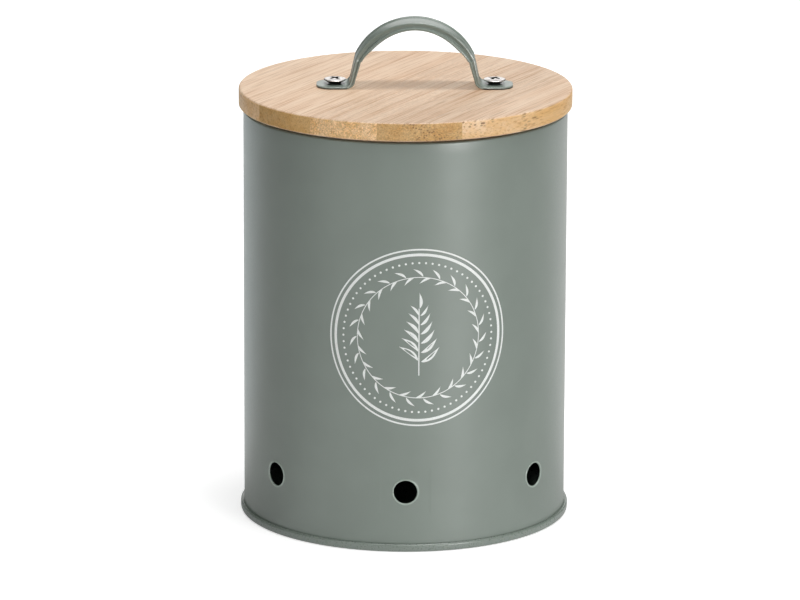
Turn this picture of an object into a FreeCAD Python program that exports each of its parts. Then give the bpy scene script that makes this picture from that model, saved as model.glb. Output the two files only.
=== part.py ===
"""Garlic keeper: a vented sheet-steel canister with a bamboo lid, as a parametric assembly.

Frame: millimetres, +Z up, origin at the middle of the ring the canister stands on. The front
is -Y. The canister is a rolled and lock-seamed wall, double-seamed to its base. The lid is
two layers of glued bamboo strips, turned round, with a silicone ring in the lower layer and
a pressed steel strap handle held by two wood screws.
"""
import FreeCAD, Part
import math
import os
import Sketcher

# Driving dimensions, in millimetres and degrees: alias, value, what it is.
SIZES = (
    ("body_radius", 62.5, "outer radius of the canister wall"),
    ("sheet_gauge", 0.4, "thickness of the canister's steel sheet"),
    ("rim_height", 160.3, "standing plane to the top of the rolled rim"),
    ("curl_radius", 1.3, "outer radius of the rolled rim"),
    ("fold_gap", 0.05, "paint and air between folded layers of sheet"),
    ("seam_height", 3.3, "height of the double seam round the base"),
    ("seam_corner", 0.8, "rounding of the double seam's lower corners"),
    ("floor_recess", 4.6, "standing plane to the underside of the base's outer ring"),
    ("floor_bend", 0.6, "inner bend radius of the base"),
    ("step_radius", 46.0, "radius of the step pressed into the base"),
    ("step_drop", 1.8, "how far the middle of the base is pressed down"),
    ("lock_width", 5.0, "width of the folded side seam"),
    ("lock_margin", 3.0, "side seam's ends to the base and to the rolled rim"),
    ("lock_line", 0.3, "width of the side seam's outer joint line"),
    ("lock_line_depth", 0.15, "depth of the side seam's outer joint line"),
    ("vent_radius", 4.5, "radius of an air vent"),
    ("vent_height", 23.5, "standing plane to the middle of the vents"),
    ("vent_pitch", 52.5, "angle from one vent to the next"),
    ("vents_each_side", 3, "vents on each side of the front one"),
    ("lid_overhang", 1.75, "how far the lid stands out past the canister wall"),
    ("lid_thickness", 7.5, "thickness of the lid's upper layer"),
    ("lid_edge_round", 0.8, "rounding of the lid's edges"),
    ("lid_rest_gap", 0.2, "rolled rim to the underside of the lid"),
    ("upper_whole_strips", 4, "strips of full width across the lid's upper layer"),
    ("upper_first_cut", 3.55, "width left of the upper layer's first strip, sawn through"),
    ("upper_last_cut", 16.95, "width left of the upper layer's last strip"),
    ("lower_whole_strips", 3, "strips of full width across the lid's lower layer"),
    ("lower_cut", 18.2, "width left of the lower layer's first and last strips"),
    ("grain_angle", -28.5, "turn of the strips from +X, across the grain"),
    ("plug_depth", 6.0, "thickness of the lid's lower layer"),
    ("plug_gap", 1.2, "lower layer to the mouth of the canister, all round"),
    ("plug_edge_round", 1.0, "rounding of the lower layer's bottom edge"),
    ("groove_height", 3.2, "height of the groove for the silicone ring"),
    ("groove_depth", 2.0, "depth of that groove"),
    ("groove_drop", 1.0, "underside of the lid to the top of the groove"),
    ("ring_fit", 0.05, "silicone ring to its groove"),
    ("ring_stand", 0.2, "how far the ring's band stands out of the groove"),
    ("lip_gap", 0.1, "ring's lip to the rolled rim"),
    ("lip_tip", 0.5, "thickness of the lip at its tip"),
    ("lip_root", 1.4, "thickness of the lip at its root"),
    ("strap_width", 15.0, "width of the handle's strap"),
    ("strap_gauge", 1.0, "thickness of the strap"),
    ("strap_edge", 2.5, "depth of the strap's folded edges"),
    ("handle_rise", 26.0, "top of the lid to the top of the handle"),
    ("handle_length", 75.6, "foot end to foot end"),
    ("handle_offset", 3.5, "middle of the handle to the middle of the lid, along +X"),
    ("foot_length", 12.3, "foot end to the leg's outer face, at the lid"),
    ("leg_lean", 13.0, "lean of the legs from upright"),
    ("arch_bulge", 0.61, "how far the arch stands out past the line of the legs"),
    ("leg_blend", 8.0, "outer radius between arch and leg"),
    ("foot_bend", 1.4, "inner bend radius between leg and foot"),
    ("foot_round", 5.5, "corner radius of the feet's ends"),
    ("screw_setback", 7.1, "foot end to the middle of its screw"),
    ("shank_radius", 1.75, "radius of a screw's shank"),
    ("screw_length", 12.0, "underside of a screw's head to its tip"),
    ("screw_point", 3.0, "length of a screw's tapered point"),
    ("head_radius", 4.3, "radius of a screw's head"),
    ("head_height", 2.3, "height of a screw's head"),
    ("head_rim", 0.7, "height of the upright rim of a screw's head"),
    ("cross_length", 4.4, "tip to tip of the cross recess"),
    ("cross_width", 0.9, "width of the cross recess"),
    ("cross_depth", 1.3, "depth of the cross recess"),
    ("screw_fit", 0.05, "screw to the wood and the strap, all round"),
)

SAME_PLACE = 0.001  # two positions closer than this are one

doc = FreeCAD.newDocument("garlic_keeper")
sheet = doc.addObject("Spreadsheet::Sheet", "sizes")
for row, (alias, value, meaning) in enumerate(SIZES, start=1):
    sheet.set(f"A{row}", meaning)
    sheet.set(f"B{row}", str(value))
    sheet.setAlias(f"B{row}", alias)
doc.recompute()


class Size:
    """A number together with the sheet formula that it comes from."""

    def __init__(self, number, formula):
        self.number = number
        self.formula = formula

    def __add__(self, other):
        return combine(self, "+", other)

    def __sub__(self, other):
        return combine(self, "-", other)

    def __mul__(self, other):
        return combine(self, "*", other)

    def __truediv__(self, other):
        return combine(self, "/", other)

    def __neg__(self):
        return combine(-1, "*", self)


def as_size(value):
    return value if isinstance(value, Size) else Size(float(value), repr(float(value)))


def combine(left, sign, right):
    left = as_size(left)
    right = as_size(right)
    results = {
        "+": left.number + right.number,
        "-": left.number - right.number,
        "*": left.number * right.number,
    }
    number = left.number / right.number if sign == "/" else results[sign]
    return Size(number, f"({left.formula} {sign} {right.formula})")


def turning(function, angle):
    """Sine, cosine or tangent of an angle in degrees."""
    number = getattr(math, function)(math.radians(angle.number))
    return Size(number, f"{function}({angle.formula})")


def size(alias):
    return Size(float(sheet.get(alias)), f"sizes.{alias}")


def bind(thing, name, value):
    thing.setExpression(name, as_size(value).formula)


def place(thing, x=0, y=0, z=0, turn=0):
    """Ties a placement to the sheet."""
    for axis, value in (("x", x), ("y", y), ("z", z)):
        bind(thing, f"Placement.Base.{axis}", value)
    bind(thing, "Placement.Rotation.Angle", turn)


def origin_feature(body, role):
    return next(item for item in body.Origin.OriginFeatures if item.Role == role)


class Edge:
    """One edge of an outline: its number, the numbers of its ends, and its heading at each."""

    def __init__(self, edge, start_point, end_point, start_heading, end_heading):
        self.edge = edge
        self.start_point = start_point
        self.end_point = end_point
        self.start_heading = start_heading
        self.end_heading = end_heading


class Outline:
    """A closed outline, drawn edge by edge, with every position tied to the sheet.

    Edges are given in order round the outline. Neighbours are joined as tangents where they
    run into each other smoothly, and at a corner otherwise.
    """

    SMOOTH = 0.999

    def __init__(self, body, name, plane="XZ_Plane", height=None):
        self.sketch = body.newObject("Sketcher::SketchObject", name)
        self.sketch.AttachmentSupport = [(origin_feature(body, plane), "")]
        self.sketch.MapMode = "FlatFace"
        if height is not None:
            bind(self.sketch, "AttachmentOffset.Base.z", height)
        self.edges = []

    def hold(self, kind, edge, point, value):
        value = as_size(value)
        if kind == "Radius":
            constraint = Sketcher.Constraint(kind, edge, value.number)
        elif kind == "Angle":
            constraint = Sketcher.Constraint(kind, edge, math.radians(value.number))
        else:
            constraint = Sketcher.Constraint(kind, -1, 1, edge, point, value.number)
        index = self.sketch.addConstraint(constraint)
        bind(self.sketch, f"Constraints[{index}]", value)

    def line(self, start, end):
        """A straight edge between two rough points, with nothing held yet."""
        points = [FreeCAD.Vector(as_size(x).number, as_size(y).number, 0) for x, y in (start, end)]
        edge = self.sketch.addGeometry(Part.LineSegment(*points))
        along = (points[1] - points[0]).normalize()
        self.edges.append(Edge(edge, 1, 2, along, along))
        return edge

    def upright(self, x, y_start, y_end):
        edge = self.line((x, y_start), (x, y_end))
        self.sketch.addConstraint(Sketcher.Constraint("Vertical", edge))
        self.hold("DistanceX", edge, 1, x)
        return edge

    def level(self, y, x_start, x_end):
        edge = self.line((x_start, y), (x_end, y))
        self.sketch.addConstraint(Sketcher.Constraint("Horizontal", edge))
        self.hold("DistanceY", edge, 1, y)
        return edge

    def arc(self, centre, radius, start, end, held):
        """A round edge from angle start to end, in degrees; held names x, y and r."""
        middle = FreeCAD.Vector(as_size(centre[0]).number, as_size(centre[1]).number, 0)
        circle = Part.Circle(middle, FreeCAD.Vector(0, 0, 1), as_size(radius).number)
        low, high = sorted((math.radians(start), math.radians(end)))
        edge = self.sketch.addGeometry(Part.ArcOfCircle(circle, low, high))
        forward = end > start
        way = 1 if forward else -1
        headings = [
            FreeCAD.Vector(-math.sin(angle), math.cos(angle), 0) * way
            for angle in (math.radians(start), math.radians(end))
        ]
        ends = (1, 2) if forward else (2, 1)
        self.edges.append(Edge(edge, *ends, *headings))
        for letter, kind, value in (("x", "DistanceX", centre[0]), ("y", "DistanceY", centre[1])):
            if letter in held:
                self.hold(kind, edge, 3, value)
        if "r" in held:
            self.hold("Radius", edge, 0, radius)
        return edge

    def around(self, corners):
        """A closed run of upright and level edges through the corners given."""
        for start, end in zip(corners, corners[1:] + corners[:1]):
            if as_size(start[0]).number == as_size(end[0]).number:
                self.upright(start[0], start[1], end[1])
            else:
                self.level(start[1], start[0], end[0])

    def close(self):
        """Joins every edge to the next one round the outline."""
        for this, following in zip(self.edges, self.edges[1:] + self.edges[:1]):
            smooth = this.end_heading.dot(following.start_heading) > self.SMOOTH
            kind = "Tangent" if smooth else "Coincident"
            ends = (this.edge, this.end_point, following.edge, following.start_point)
            self.sketch.addConstraint(Sketcher.Constraint(kind, *ends))
        doc.recompute()
        if not self.sketch.FullyConstrained:
            raise RuntimeError(f"{self.sketch.Label} is not fully constrained")
        return self.sketch


def new_body(label):
    body = doc.addObject("PartDesign::Body", label)
    body.Label = label
    return body


def revolve(body, sketch):
    feature = body.newObject("PartDesign::Revolution", f"{body.Label}_turned")
    feature.Profile = sketch
    feature.ReferenceAxis = (sketch, ["V_Axis"])
    feature.Angle = 360
    doc.recompute()
    return feature


def extrude(body, kind, sketch, name, length, side="One side", backwards=False):
    """A pad or a pocket; a pocket that takes nothing off raises an error."""
    before = 0 if body.Shape.isNull() else body.Shape.Volume
    feature = body.newObject(f"PartDesign::{kind}", name)
    feature.Profile = sketch
    feature.SideType = side
    feature.Reversed = backwards
    bind(feature, "Length", length)
    doc.recompute()
    if kind == "Pocket" and not feature.Shape.Volume < before:
        raise RuntimeError(f"{name} cuts nothing")
    return feature


def round_edges(body, base, name, radius, chosen):
    """Rounds the edges of the base feature for which chosen is true."""
    names = [f"Edge{i}" for i, edge in enumerate(base.Shape.Edges, start=1) if chosen(edge)]
    feature = body.newObject("PartDesign::Fillet", name)
    feature.Base = (base, names)
    bind(feature, "Radius", radius)
    doc.recompute()
    return feature


def cut_away(label, base, tool):
    """A part made of one solid with another one taken away."""
    feature = doc.addObject("Part::Cut", label)
    feature.Label = label
    feature.Base = base
    feature.Tool = tool
    return feature


# --- Levels and radii that more than one piece follows ---------------------------------

body_radius = size("body_radius")
gauge = size("sheet_gauge")
fold_gap = size("fold_gap")
rim_height = size("rim_height")
curl_radius = size("curl_radius")
seam_height = size("seam_height")
mouth_radius = body_radius - curl_radius * 2
lid_radius = body_radius + size("lid_overhang")
lid_underside = rim_height + size("lid_rest_gap")
lid_top = lid_underside + size("lid_thickness")
foot_top = lid_top + size("strap_gauge")
handle_middle = size("handle_offset")
foot_end = size("handle_length") / 2
leg_face = foot_end - size("foot_length")
screw_reach = foot_end - size("screw_setback")
wall_inside = body_radius - gauge

# The double seam, from the wall outwards: hook of the base, hook of the wall, outer band.
base_hook_inside = body_radius + fold_gap
wall_hook_inside = base_hook_inside + gauge + fold_gap
wall_hook_outside = wall_hook_inside + gauge
band_inside = wall_hook_outside + fold_gap
band_outside = band_inside + gauge
fold_outer = (gauge * 3 + fold_gap * 2) / 2
fold_inner = (gauge + fold_gap * 2) / 2
wall_fold_height = gauge + fold_gap + fold_outer
base_fold_height = seam_height - fold_outer


def canister_wall():
    """Rolled sheet with a rolled rim, a hook for the base seam, a side seam and the vents."""
    body = new_body("canister_wall")
    wall = Outline(body, "wall_section")
    curl_height = rim_height - curl_radius
    curl_middle = body_radius - curl_radius
    fold_middle = body_radius + fold_inner
    hook_top = base_fold_height - fold_gap
    wall.upright(body_radius, wall_fold_height, curl_height)
    wall.arc((curl_middle, curl_height), curl_radius, 0, 270, held="yr")
    wall.upright(curl_middle, curl_height - curl_radius, curl_height - curl_radius + gauge)
    wall.arc((curl_middle, curl_height), curl_radius - gauge, 270, 0, held="yr")
    wall.upright(wall_inside, curl_height, wall_fold_height)
    wall.arc((fold_middle, wall_fold_height), fold_outer, 180, 360, held="y")
    wall.upright(wall_hook_outside, wall_fold_height, hook_top)
    wall.level(hook_top, wall_hook_outside, wall_hook_inside)
    wall.upright(wall_hook_inside, hook_top, wall_fold_height)
    wall.arc((fold_middle, wall_fold_height), fold_inner, 360, 180, held="y")
    revolve(body, wall.close())
    add_side_seam(body)
    add_vents(body)
    return body


def add_side_seam(body):
    """The sheet's two ends hooked together down the back: a band inside, a joint line outside."""
    half_width = size("lock_width") / 2
    low = size("floor_recess") + gauge + size("lock_margin")
    high = rim_height - curl_radius * 2 - size("lock_margin")
    band = Outline(body, "side_seam_band", "XY_Plane", height=low)
    deep = body_radius - gauge * 3
    shallow = body_radius - gauge / 2
    band.around([(-half_width, deep), (half_width, deep), (half_width, shallow), (-half_width, shallow)])
    extrude(body, "Pad", band.close(), "side_seam", high - low)

    joint = Outline(body, "side_seam_line", "XY_Plane", height=low)
    bottom = body_radius - size("lock_line_depth")
    beyond = body_radius + gauge
    edge = half_width + size("lock_line")
    joint.around([(half_width, bottom), (edge, bottom), (edge, beyond), (half_width, beyond)])
    extrude(body, "Pocket", joint.close(), "side_seam_joint", high - low, backwards=True)


def circle_sketch(body, name, plane, centres, radius):
    """Circles of one radius at held centres."""
    sketch = body.newObject("Sketcher::SketchObject", name)
    sketch.AttachmentSupport = [(origin_feature(body, plane), "")]
    sketch.MapMode = "FlatFace"
    for x, y in centres:
        middle = FreeCAD.Vector(as_size(x).number, as_size(y).number, 0)
        edge = sketch.addGeometry(Part.Circle(middle, FreeCAD.Vector(0, 0, 1), radius.number))
        for kind, value in (("DistanceX", as_size(x)), ("DistanceY", as_size(y))):
            index = sketch.addConstraint(Sketcher.Constraint(kind, -1, 1, edge, 3, value.number))
            bind(sketch, f"Constraints[{index}]", value)
        index = sketch.addConstraint(Sketcher.Constraint("Radius", edge, radius.number))
        bind(sketch, f"Constraints[{index}]", radius)
    doc.recompute()
    return sketch


def add_vents(body):
    """One round vent at the front, and the same number round each side."""
    centre = (0, size("vent_height"))
    ring = circle_sketch(body, "front_vent_centre", "XZ_Plane", [centre], size("vent_radius"))
    vent = extrude(body, "Pocket", ring, "front_vent", body_radius + gauge, backwards=True)
    for name, backwards in (("vents_right", False), ("vents_left", True)):
        before = body.Shape.Volume
        pattern = body.newObject("PartDesign::PolarPattern", name)
        pattern.Originals = [vent]
        pattern.Axis = (ring, ["V_Axis"])
        pattern.Mode = "Spacing"
        pattern.Reversed = backwards
        bind(pattern, "Offset", size("vent_pitch"))
        bind(pattern, "Occurrences", size("vents_each_side") + 1)
        body.Tip = pattern
        doc.recompute()
        if not body.Shape.Volume < before:
            raise RuntimeError(f"{name} cuts nothing")


def base_disc():
    """Pressed base: stepped floor, chuck wall, flat-bottomed seam and its hook."""
    body = new_body("base_disc")
    base = Outline(body, "base_section")
    bend = size("floor_bend")
    corner = size("seam_corner")
    wide_bend = bend + gauge
    tight_corner = corner - gauge
    step = size("step_radius")
    ring_height = size("floor_recess")
    middle_height = ring_height - size("step_drop")
    chuck_outside = wall_inside - fold_gap
    chuck_inside = chuck_outside - gauge
    corner_in = chuck_inside + corner
    corner_out = band_outside - corner
    fold_middle = body_radius + fold_gap + fold_outer
    hook_bottom = wall_fold_height + fold_gap

    # Underside, from the middle to the hook's tip.
    base.level(middle_height, 0, step - wide_bend)
    base.arc((step - wide_bend, middle_height + wide_bend), wide_bend, -90, 0, held="r")
    base.upright(step, middle_height + wide_bend, ring_height - bend)
    base.arc((step + bend, ring_height - bend), bend, 180, 90, held="r")
    base.level(ring_height, step + bend, chuck_inside - bend)
    base.arc((chuck_inside - bend, ring_height - bend), bend, 90, 0, held="r")
    base.upright(chuck_inside, ring_height - bend, corner)
    base.arc((corner_in, corner), corner, 180, 270, held="r")
    base.level(0, corner_in, corner_out)
    base.arc((corner_out, corner), corner, 270, 360, held="r")
    base.upright(band_outside, corner, base_fold_height)
    base.arc((fold_middle, base_fold_height), fold_outer, 0, 180, held="y")
    base.upright(base_hook_inside, base_fold_height, hook_bottom)
    base.level(hook_bottom, base_hook_inside, base_hook_inside + gauge)
    # Upper side, back from the hook's tip to the middle.
    base.upright(base_hook_inside + gauge, hook_bottom, base_fold_height)
    base.arc((fold_middle, base_fold_height), fold_inner, 180, 0, held="y")
    base.upright(band_inside, base_fold_height, corner)
    base.arc((corner_out, corner), tight_corner, 360, 270, held="r")
    base.level(gauge, corner_out, corner_in)
    base.arc((corner_in, corner), tight_corner, 270, 180, held="r")
    base.upright(chuck_outside, corner, ring_height - bend)
    base.arc((chuck_inside - bend, ring_height - bend), wide_bend, 0, 90, held="r")
    base.level(ring_height + gauge, chuck_inside - bend, step + bend)
    base.arc((step + bend, ring_height - bend), wide_bend, 90, 180, held="r")
    base.upright(step - gauge, ring_height - bend, middle_height + wide_bend)
    base.arc((step - wide_bend, middle_height + wide_bend), bend, 360, 270, held="r")
    base.level(middle_height + gauge, step - wide_bend, 0)
    base.upright(0, middle_height + gauge, middle_height)
    revolve(body, base.close())
    return body


def screw_bores():
    """The two pilot holes, as solids to take out of the wood."""
    bores = []
    depth = size("screw_length") - size("strap_gauge") + size("screw_fit")
    through = size("strap_gauge")
    for side, name in ((-1, "left"), (1, "right")):
        bore = doc.addObject("Part::Cylinder", f"{name}_bore")
        bind(bore, "Radius", size("shank_radius") + size("screw_fit"))
        bind(bore, "Height", depth + through)
        place(bore, x=handle_middle + screw_reach * side, z=lid_top - depth)
        bores.append(bore)
    both = doc.addObject("Part::Compound", "screw_bores")
    both.Links = bores
    return both


def disc_blank(label, build_section):
    """A turned blank that the strips of one lid layer are taken from."""
    body = new_body(label)
    section = Outline(body, f"{label}_section")
    build_section(section)
    revolve(body, section.close())
    return body


def lid_section(section):
    edge = size("lid_edge_round")
    section.level(lid_underside, 0, lid_radius - edge)
    section.arc((lid_radius - edge, lid_underside + edge), edge, -90, 0, held="r")
    section.upright(lid_radius, lid_underside + edge, lid_top - edge)
    section.arc((lid_radius - edge, lid_top - edge), edge, 0, 90, held="r")
    section.level(lid_top, lid_radius - edge, 0)
    section.upright(0, lid_top, lid_underside)


plug_radius = mouth_radius - size("plug_gap")
plug_bottom = lid_underside - size("plug_depth")
groove_top = lid_underside - size("groove_drop")
groove_bottom = groove_top - size("groove_height")
groove_floor = plug_radius - size("groove_depth")


def plug_section(section):
    edge = size("plug_edge_round")
    section.level(plug_bottom, 0, plug_radius - edge)
    section.arc((plug_radius - edge, plug_bottom + edge), edge, -90, 0, held="r")
    section.upright(plug_radius, plug_bottom + edge, groove_bottom)
    section.level(groove_bottom, plug_radius, groove_floor)
    section.upright(groove_floor, groove_bottom, groove_top)
    section.level(groove_top, groove_floor, plug_radius)
    section.upright(plug_radius, groove_top, lid_underside)
    section.level(lid_underside, plug_radius, 0)
    section.upright(0, lid_underside, plug_bottom)


class Board:
    """How the strips lie across one layer of the lid: whole ones between two sawn ones."""

    def __init__(self, whole, first_cut, last_cut):
        self.whole = size(whole)
        self.first_cut = size(first_cut)
        self.last_cut = size(last_cut)

    def strip_width(self, radius):
        return (radius * 2 - self.first_cut - self.last_cut) / self.whole


def strips(label, blank, bores, radius, board, bottom, thickness):
    """Bamboo strips, glued side by side, that fill a turned blank; numbered across the grain."""
    width = board.strip_width(radius)
    turn = size("grain_angle")
    cosine = turning("cos", turn)
    sine = turning("sin", turn)
    made = []
    for number in range(int(board.whole.number) + 2):
        low = board.first_cut - radius + width * (number - 1)
        slab = doc.addObject("Part::Box", f"{label}_slab_{number + 1}")
        bind(slab, "Length", width)
        bind(slab, "Width", radius * 2)
        bind(slab, "Height", thickness)
        place(slab, low * cosine + radius * sine, low * sine - radius * cosine, bottom, turn)
        strip = doc.addObject("Part::Common", f"{label}_sawn_{number + 1}")
        strip.Base = blank
        strip.Tool = slab
        made.append(cut_away(f"{label}_{number + 1}", strip, bores))
    return made


def seal_ring():
    """Silicone ring: a band in the plug's groove with a lip that bears on the rolled rim."""
    body = new_body("seal_ring")
    section = Outline(body, "ring_section")
    fit = size("ring_fit")
    low = groove_bottom + fit
    high = groove_top - fit
    inside = groove_floor + fit
    outside = plug_radius + size("ring_stand")
    half_root = size("lip_root") / 2
    half_tip = size("lip_tip") / 2
    root_height = (groove_bottom + groove_top) / 2
    tip_height = rim_height - curl_radius
    tip = mouth_radius - size("lip_gap")
    section.level(low, inside, outside)
    lower = section.upright(outside, low, root_height - half_root)
    section.line((outside, root_height - half_root), (tip, tip_height - half_tip))
    lip = section.upright(tip, tip_height - half_tip, tip_height + half_tip)
    section.line((tip, tip_height + half_tip), (outside, root_height + half_root))
    upper = section.upright(outside, root_height + half_root, high)
    section.level(high, outside, inside)
    section.upright(inside, high, low)
    section.hold("DistanceY", lower, 2, root_height - half_root)
    section.hold("DistanceY", lip, 1, tip_height - half_tip)
    section.hold("DistanceY", lip, 2, tip_height + half_tip)
    section.hold("DistanceY", upper, 1, root_height + half_root)
    revolve(body, section.close())
    return body


def lid_handle():
    """Steel strap: flat feet, leaning legs and an arch whose edges are folded down."""
    body = new_body("lid_handle")
    place(body, x=handle_middle, z=lid_top)
    strap = size("strap_gauge")
    rise = size("handle_rise")
    lean = size("leg_lean")
    bend = size("foot_bend")
    arch = arch_radius(rise, lean)
    arch_centre = rise - arch
    bend_height = strap + bend
    leg_at_bend = leg_face - bend_height * turning("tan", lean)
    bend_centre = leg_at_bend + bend / turning("cos", lean)
    leg_inside = leg_at_bend - strap / turning("cos", lean)

    half = add_strap_half(body, strap, arch, arch_centre, lean, bend, bend_centre)
    inside = Outline(body, "channel_section")
    corner = rough_leg_top(arch - strap, arch_centre, leg_inside, bend_height, lean)
    inside.upright(0, bend_height, arch_centre + arch - strap)
    inside.arc((0, arch_centre), arch - strap, 90, corner.polar, held="xyr")
    inside.arc(corner.centre, size("leg_blend") - strap, corner.polar, lean.number, held="r")
    slope = inside.line(corner.leg_top, (leg_inside, bend_height))
    inside.hold("DistanceX", slope, 2, leg_inside)
    inside.hold("Angle", slope, 0, lean - 90)
    inside.level(bend_height, leg_inside, 0)
    width = size("strap_width") - strap * 2
    channel = extrude(body, "Pocket", inside.close(), "channel", width, "Symmetric")

    mirror = body.newObject("PartDesign::Mirrored", "both_halves")
    mirror.Originals = [half, channel]
    mirror.MirrorPlane = (origin_feature(body, "YZ_Plane"), [""])
    body.Tip = mirror
    doc.recompute()
    rounded = round_edges(body, mirror, "foot_corners", size("foot_round"), is_foot_corner)
    body.Tip = rounded
    add_foot_holes(body)
    return body


def arch_radius(rise, lean):
    """Outer radius of the arch that peaks at the handle's top and bulges past its leaning legs."""
    along = leg_face * turning("cos", lean) - rise * turning("sin", lean)
    return (along + size("arch_bulge")) / (-turning("sin", lean) + 1)


class LegTop:
    """Rough place where the handle's leg runs into its arch, to start a sketch from."""

    def __init__(self, polar, centre, leg_top):
        self.polar = polar
        self.centre = centre
        self.leg_top = leg_top


def rough_leg_top(arch, arch_centre, leg_x, leg_y, lean, blend=None):
    """The blend's centre lies one blend radius inside the leg and the arch."""
    blend = (blend or size("leg_blend") - size("strap_gauge")).number
    tilt = math.radians(lean.number)
    normal = (math.cos(tilt), math.sin(tilt))
    leg_reach = leg_x.number * normal[0] + (leg_y.number - arch_centre.number) * normal[1]
    across = leg_reach - blend
    along = math.sqrt((arch.number - blend) ** 2 - across ** 2)
    centre = (
        across * normal[0] - along * normal[1],
        across * normal[1] + along * normal[0] + arch_centre.number,
    )
    polar = math.degrees(math.atan2(centre[1] - arch_centre.number, centre[0]))
    leg_top = (centre[0] + blend * normal[0], centre[1] + blend * normal[1])
    return LegTop(polar, centre, leg_top)


def add_strap_half(body, strap, arch, arch_centre, lean, bend, bend_centre):
    """The right half of the strap seen from the front, as deep as its folded edges."""
    outer = Outline(body, "strap_section")
    bend_height = strap + bend
    leg_x = leg_face - bend_height * turning("tan", lean)
    corner = rough_leg_top(arch, arch_centre, leg_x, bend_height, lean, size("leg_blend"))
    inner_arch = arch - size("strap_edge")
    gap = (bend_centre.number, bend_height.number - arch_centre.number)
    reach = math.hypot(*gap)
    cross = math.acos((inner_arch.number + bend.number + strap.number) / reach)
    polar = math.degrees(math.atan2(gap[1], gap[0]) + cross)
    turned = math.radians(polar)
    inner_top = (inner_arch.number * math.cos(turned),
                 inner_arch.number * math.sin(turned) + arch_centre.number)
    wide_bend = bend + strap
    inner_low = (bend_centre.number - wide_bend.number * math.cos(turned),
                 bend_height.number - wide_bend.number * math.sin(turned))
    foot_tangent = (bend_centre.number - bend.number * math.cos(math.radians(lean.number)),
                    bend_height.number - bend.number * math.sin(math.radians(lean.number)))

    outer.arc((0, arch_centre), arch, 90, corner.polar, held="xyr")
    outer.arc(corner.centre, size("leg_blend"), corner.polar, lean.number, held="r")
    slope = outer.line(corner.leg_top, foot_tangent)
    outer.hold("Angle", slope, 0, lean - 90)
    outer.arc((bend_centre, bend_height), bend, 180 + lean.number, 270, held="xr")
    outer.level(strap, bend_centre, foot_end)
    outer.upright(foot_end, strap, 0)
    outer.level(0, foot_end, bend_centre)
    outer.arc((bend_centre, bend_height), wide_bend, 270, 180 + polar, held="xr")
    outer.line(inner_low, inner_top)
    outer.arc((0, arch_centre), inner_arch, polar, 90, held="xyr")
    outer.upright(0, arch_centre + inner_arch, arch_centre + arch)
    return extrude(body, "Pad", outer.close(), "strap_half", size("strap_width"), "Symmetric")


def is_foot_corner(edge):
    """The upright edges at the far ends of the feet."""
    box = edge.BoundBox
    upright = max(box.XLength, box.YLength) < SAME_PLACE
    return upright and box.ZMax < size("strap_gauge").number + SAME_PLACE


def add_foot_holes(body):
    """A clearance hole in each foot."""
    centres = [(screw_reach * side, 0) for side in (-1, 1)]
    radius = size("shank_radius") + size("screw_fit")
    holes = circle_sketch(body, "foot_hole_centres", "XY_Plane", centres, radius)
    extrude(body, "Pocket", holes, "foot_holes", size("strap_gauge") * 2, backwards=True)


def screw(label, side):
    """Pan-head wood screw with a cross recess, seated on the handle's foot."""
    body = new_body(label)
    place(body, x=handle_middle + screw_reach * side, z=foot_top)
    section = Outline(body, f"{label}_section")
    shank = size("shank_radius")
    tip = -size("screw_length")
    taper = size("screw_point") - size("screw_length")
    head = size("head_radius")
    top = size("head_height")
    rim = size("head_rim")
    crown_rise = top.number - rim.number
    crown = (head.number ** 2 + crown_rise ** 2) / (2 * crown_rise)
    crown_end = math.degrees(math.acos(head.number / crown))
    axis = section.upright(0, tip, top)
    section.hold("DistanceY", axis, 1, tip)
    section.hold("DistanceY", axis, 2, top)
    section.arc((0, top - crown), crown, 90, crown_end, held="x")
    edge = section.upright(head, rim, 0)
    section.hold("DistanceY", edge, 1, rim)
    section.level(0, head, shank)
    side_edge = section.upright(shank, 0, taper)
    section.hold("DistanceY", side_edge, 2, taper)
    section.line((shank, taper), (0, tip))
    revolve(body, section.close())

    depth = size("cross_depth")
    cross = Outline(body, f"{label}_cross", "XY_Plane", height=top - depth)
    half_length = size("cross_length") / 2
    half_width = size("cross_width") / 2
    quarter = [(half_length, -half_width), (half_length, half_width), (half_width, half_width)]
    corners = []
    for _ in range(4):
        corners += quarter
        quarter = [(-y, x) for x, y in quarter]
    cross.around(corners)
    extrude(body, "Pocket", cross.close(), f"{label}_recess", depth, backwards=True)
    return body


def write_parts(parts):
    """Checks every object, then writes one file for each part."""
    doc.recompute()
    for item in doc.Objects:
        if {"Invalid", "Error"} & set(item.State):
            raise RuntimeError(f"{item.Label} failed: {item.State}")
    for part in parts:
        shape = part.Shape
        if shape.isNull() or not shape.isValid() or len(shape.Solids) != 1:
            raise RuntimeError(f"{part.Label} is not one valid solid")
    os.makedirs("parts", exist_ok=True)
    for part in parts:
        part.Shape.exportStep(f"parts/{part.Label}.step")
        print(f"{part.Label}: {part.Shape.Volume:.1f} mm3")


bores = screw_bores()
upper_layer = disc_blank("lid_blank", lid_section)
lower_layer = disc_blank("plug_blank", plug_section)
upper_board = Board("upper_whole_strips", "upper_first_cut", "upper_last_cut")
lower_board = Board("lower_whole_strips", "lower_cut", "lower_cut")
write_parts([
    canister_wall(),
    base_disc(),
    *strips("lid_strip", upper_layer, bores, lid_radius, upper_board,
            lid_underside, size("lid_thickness")),
    *strips("plug_strip", lower_layer, bores, plug_radius, lower_board,
            plug_bottom, size("plug_depth")),
    seal_ring(),
    lid_handle(),
    screw("screw_left", -1),
    screw("screw_right", 1),
])
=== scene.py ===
"""Garlic keeper: a vented steel canister with a bamboo lid, dressed over its CAD frame.

Run as a script. The layout is that of an add-on: settings, one operator for each group of
pieces, and a panel that lists them. +Z is up and the front is -Y. Lengths are in metres, but
the sections of turned and swept pieces are in millimetres.
"""
import math
from collections import namedtuple

import bmesh
import bpy
from mathutils import Matrix, Vector


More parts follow.
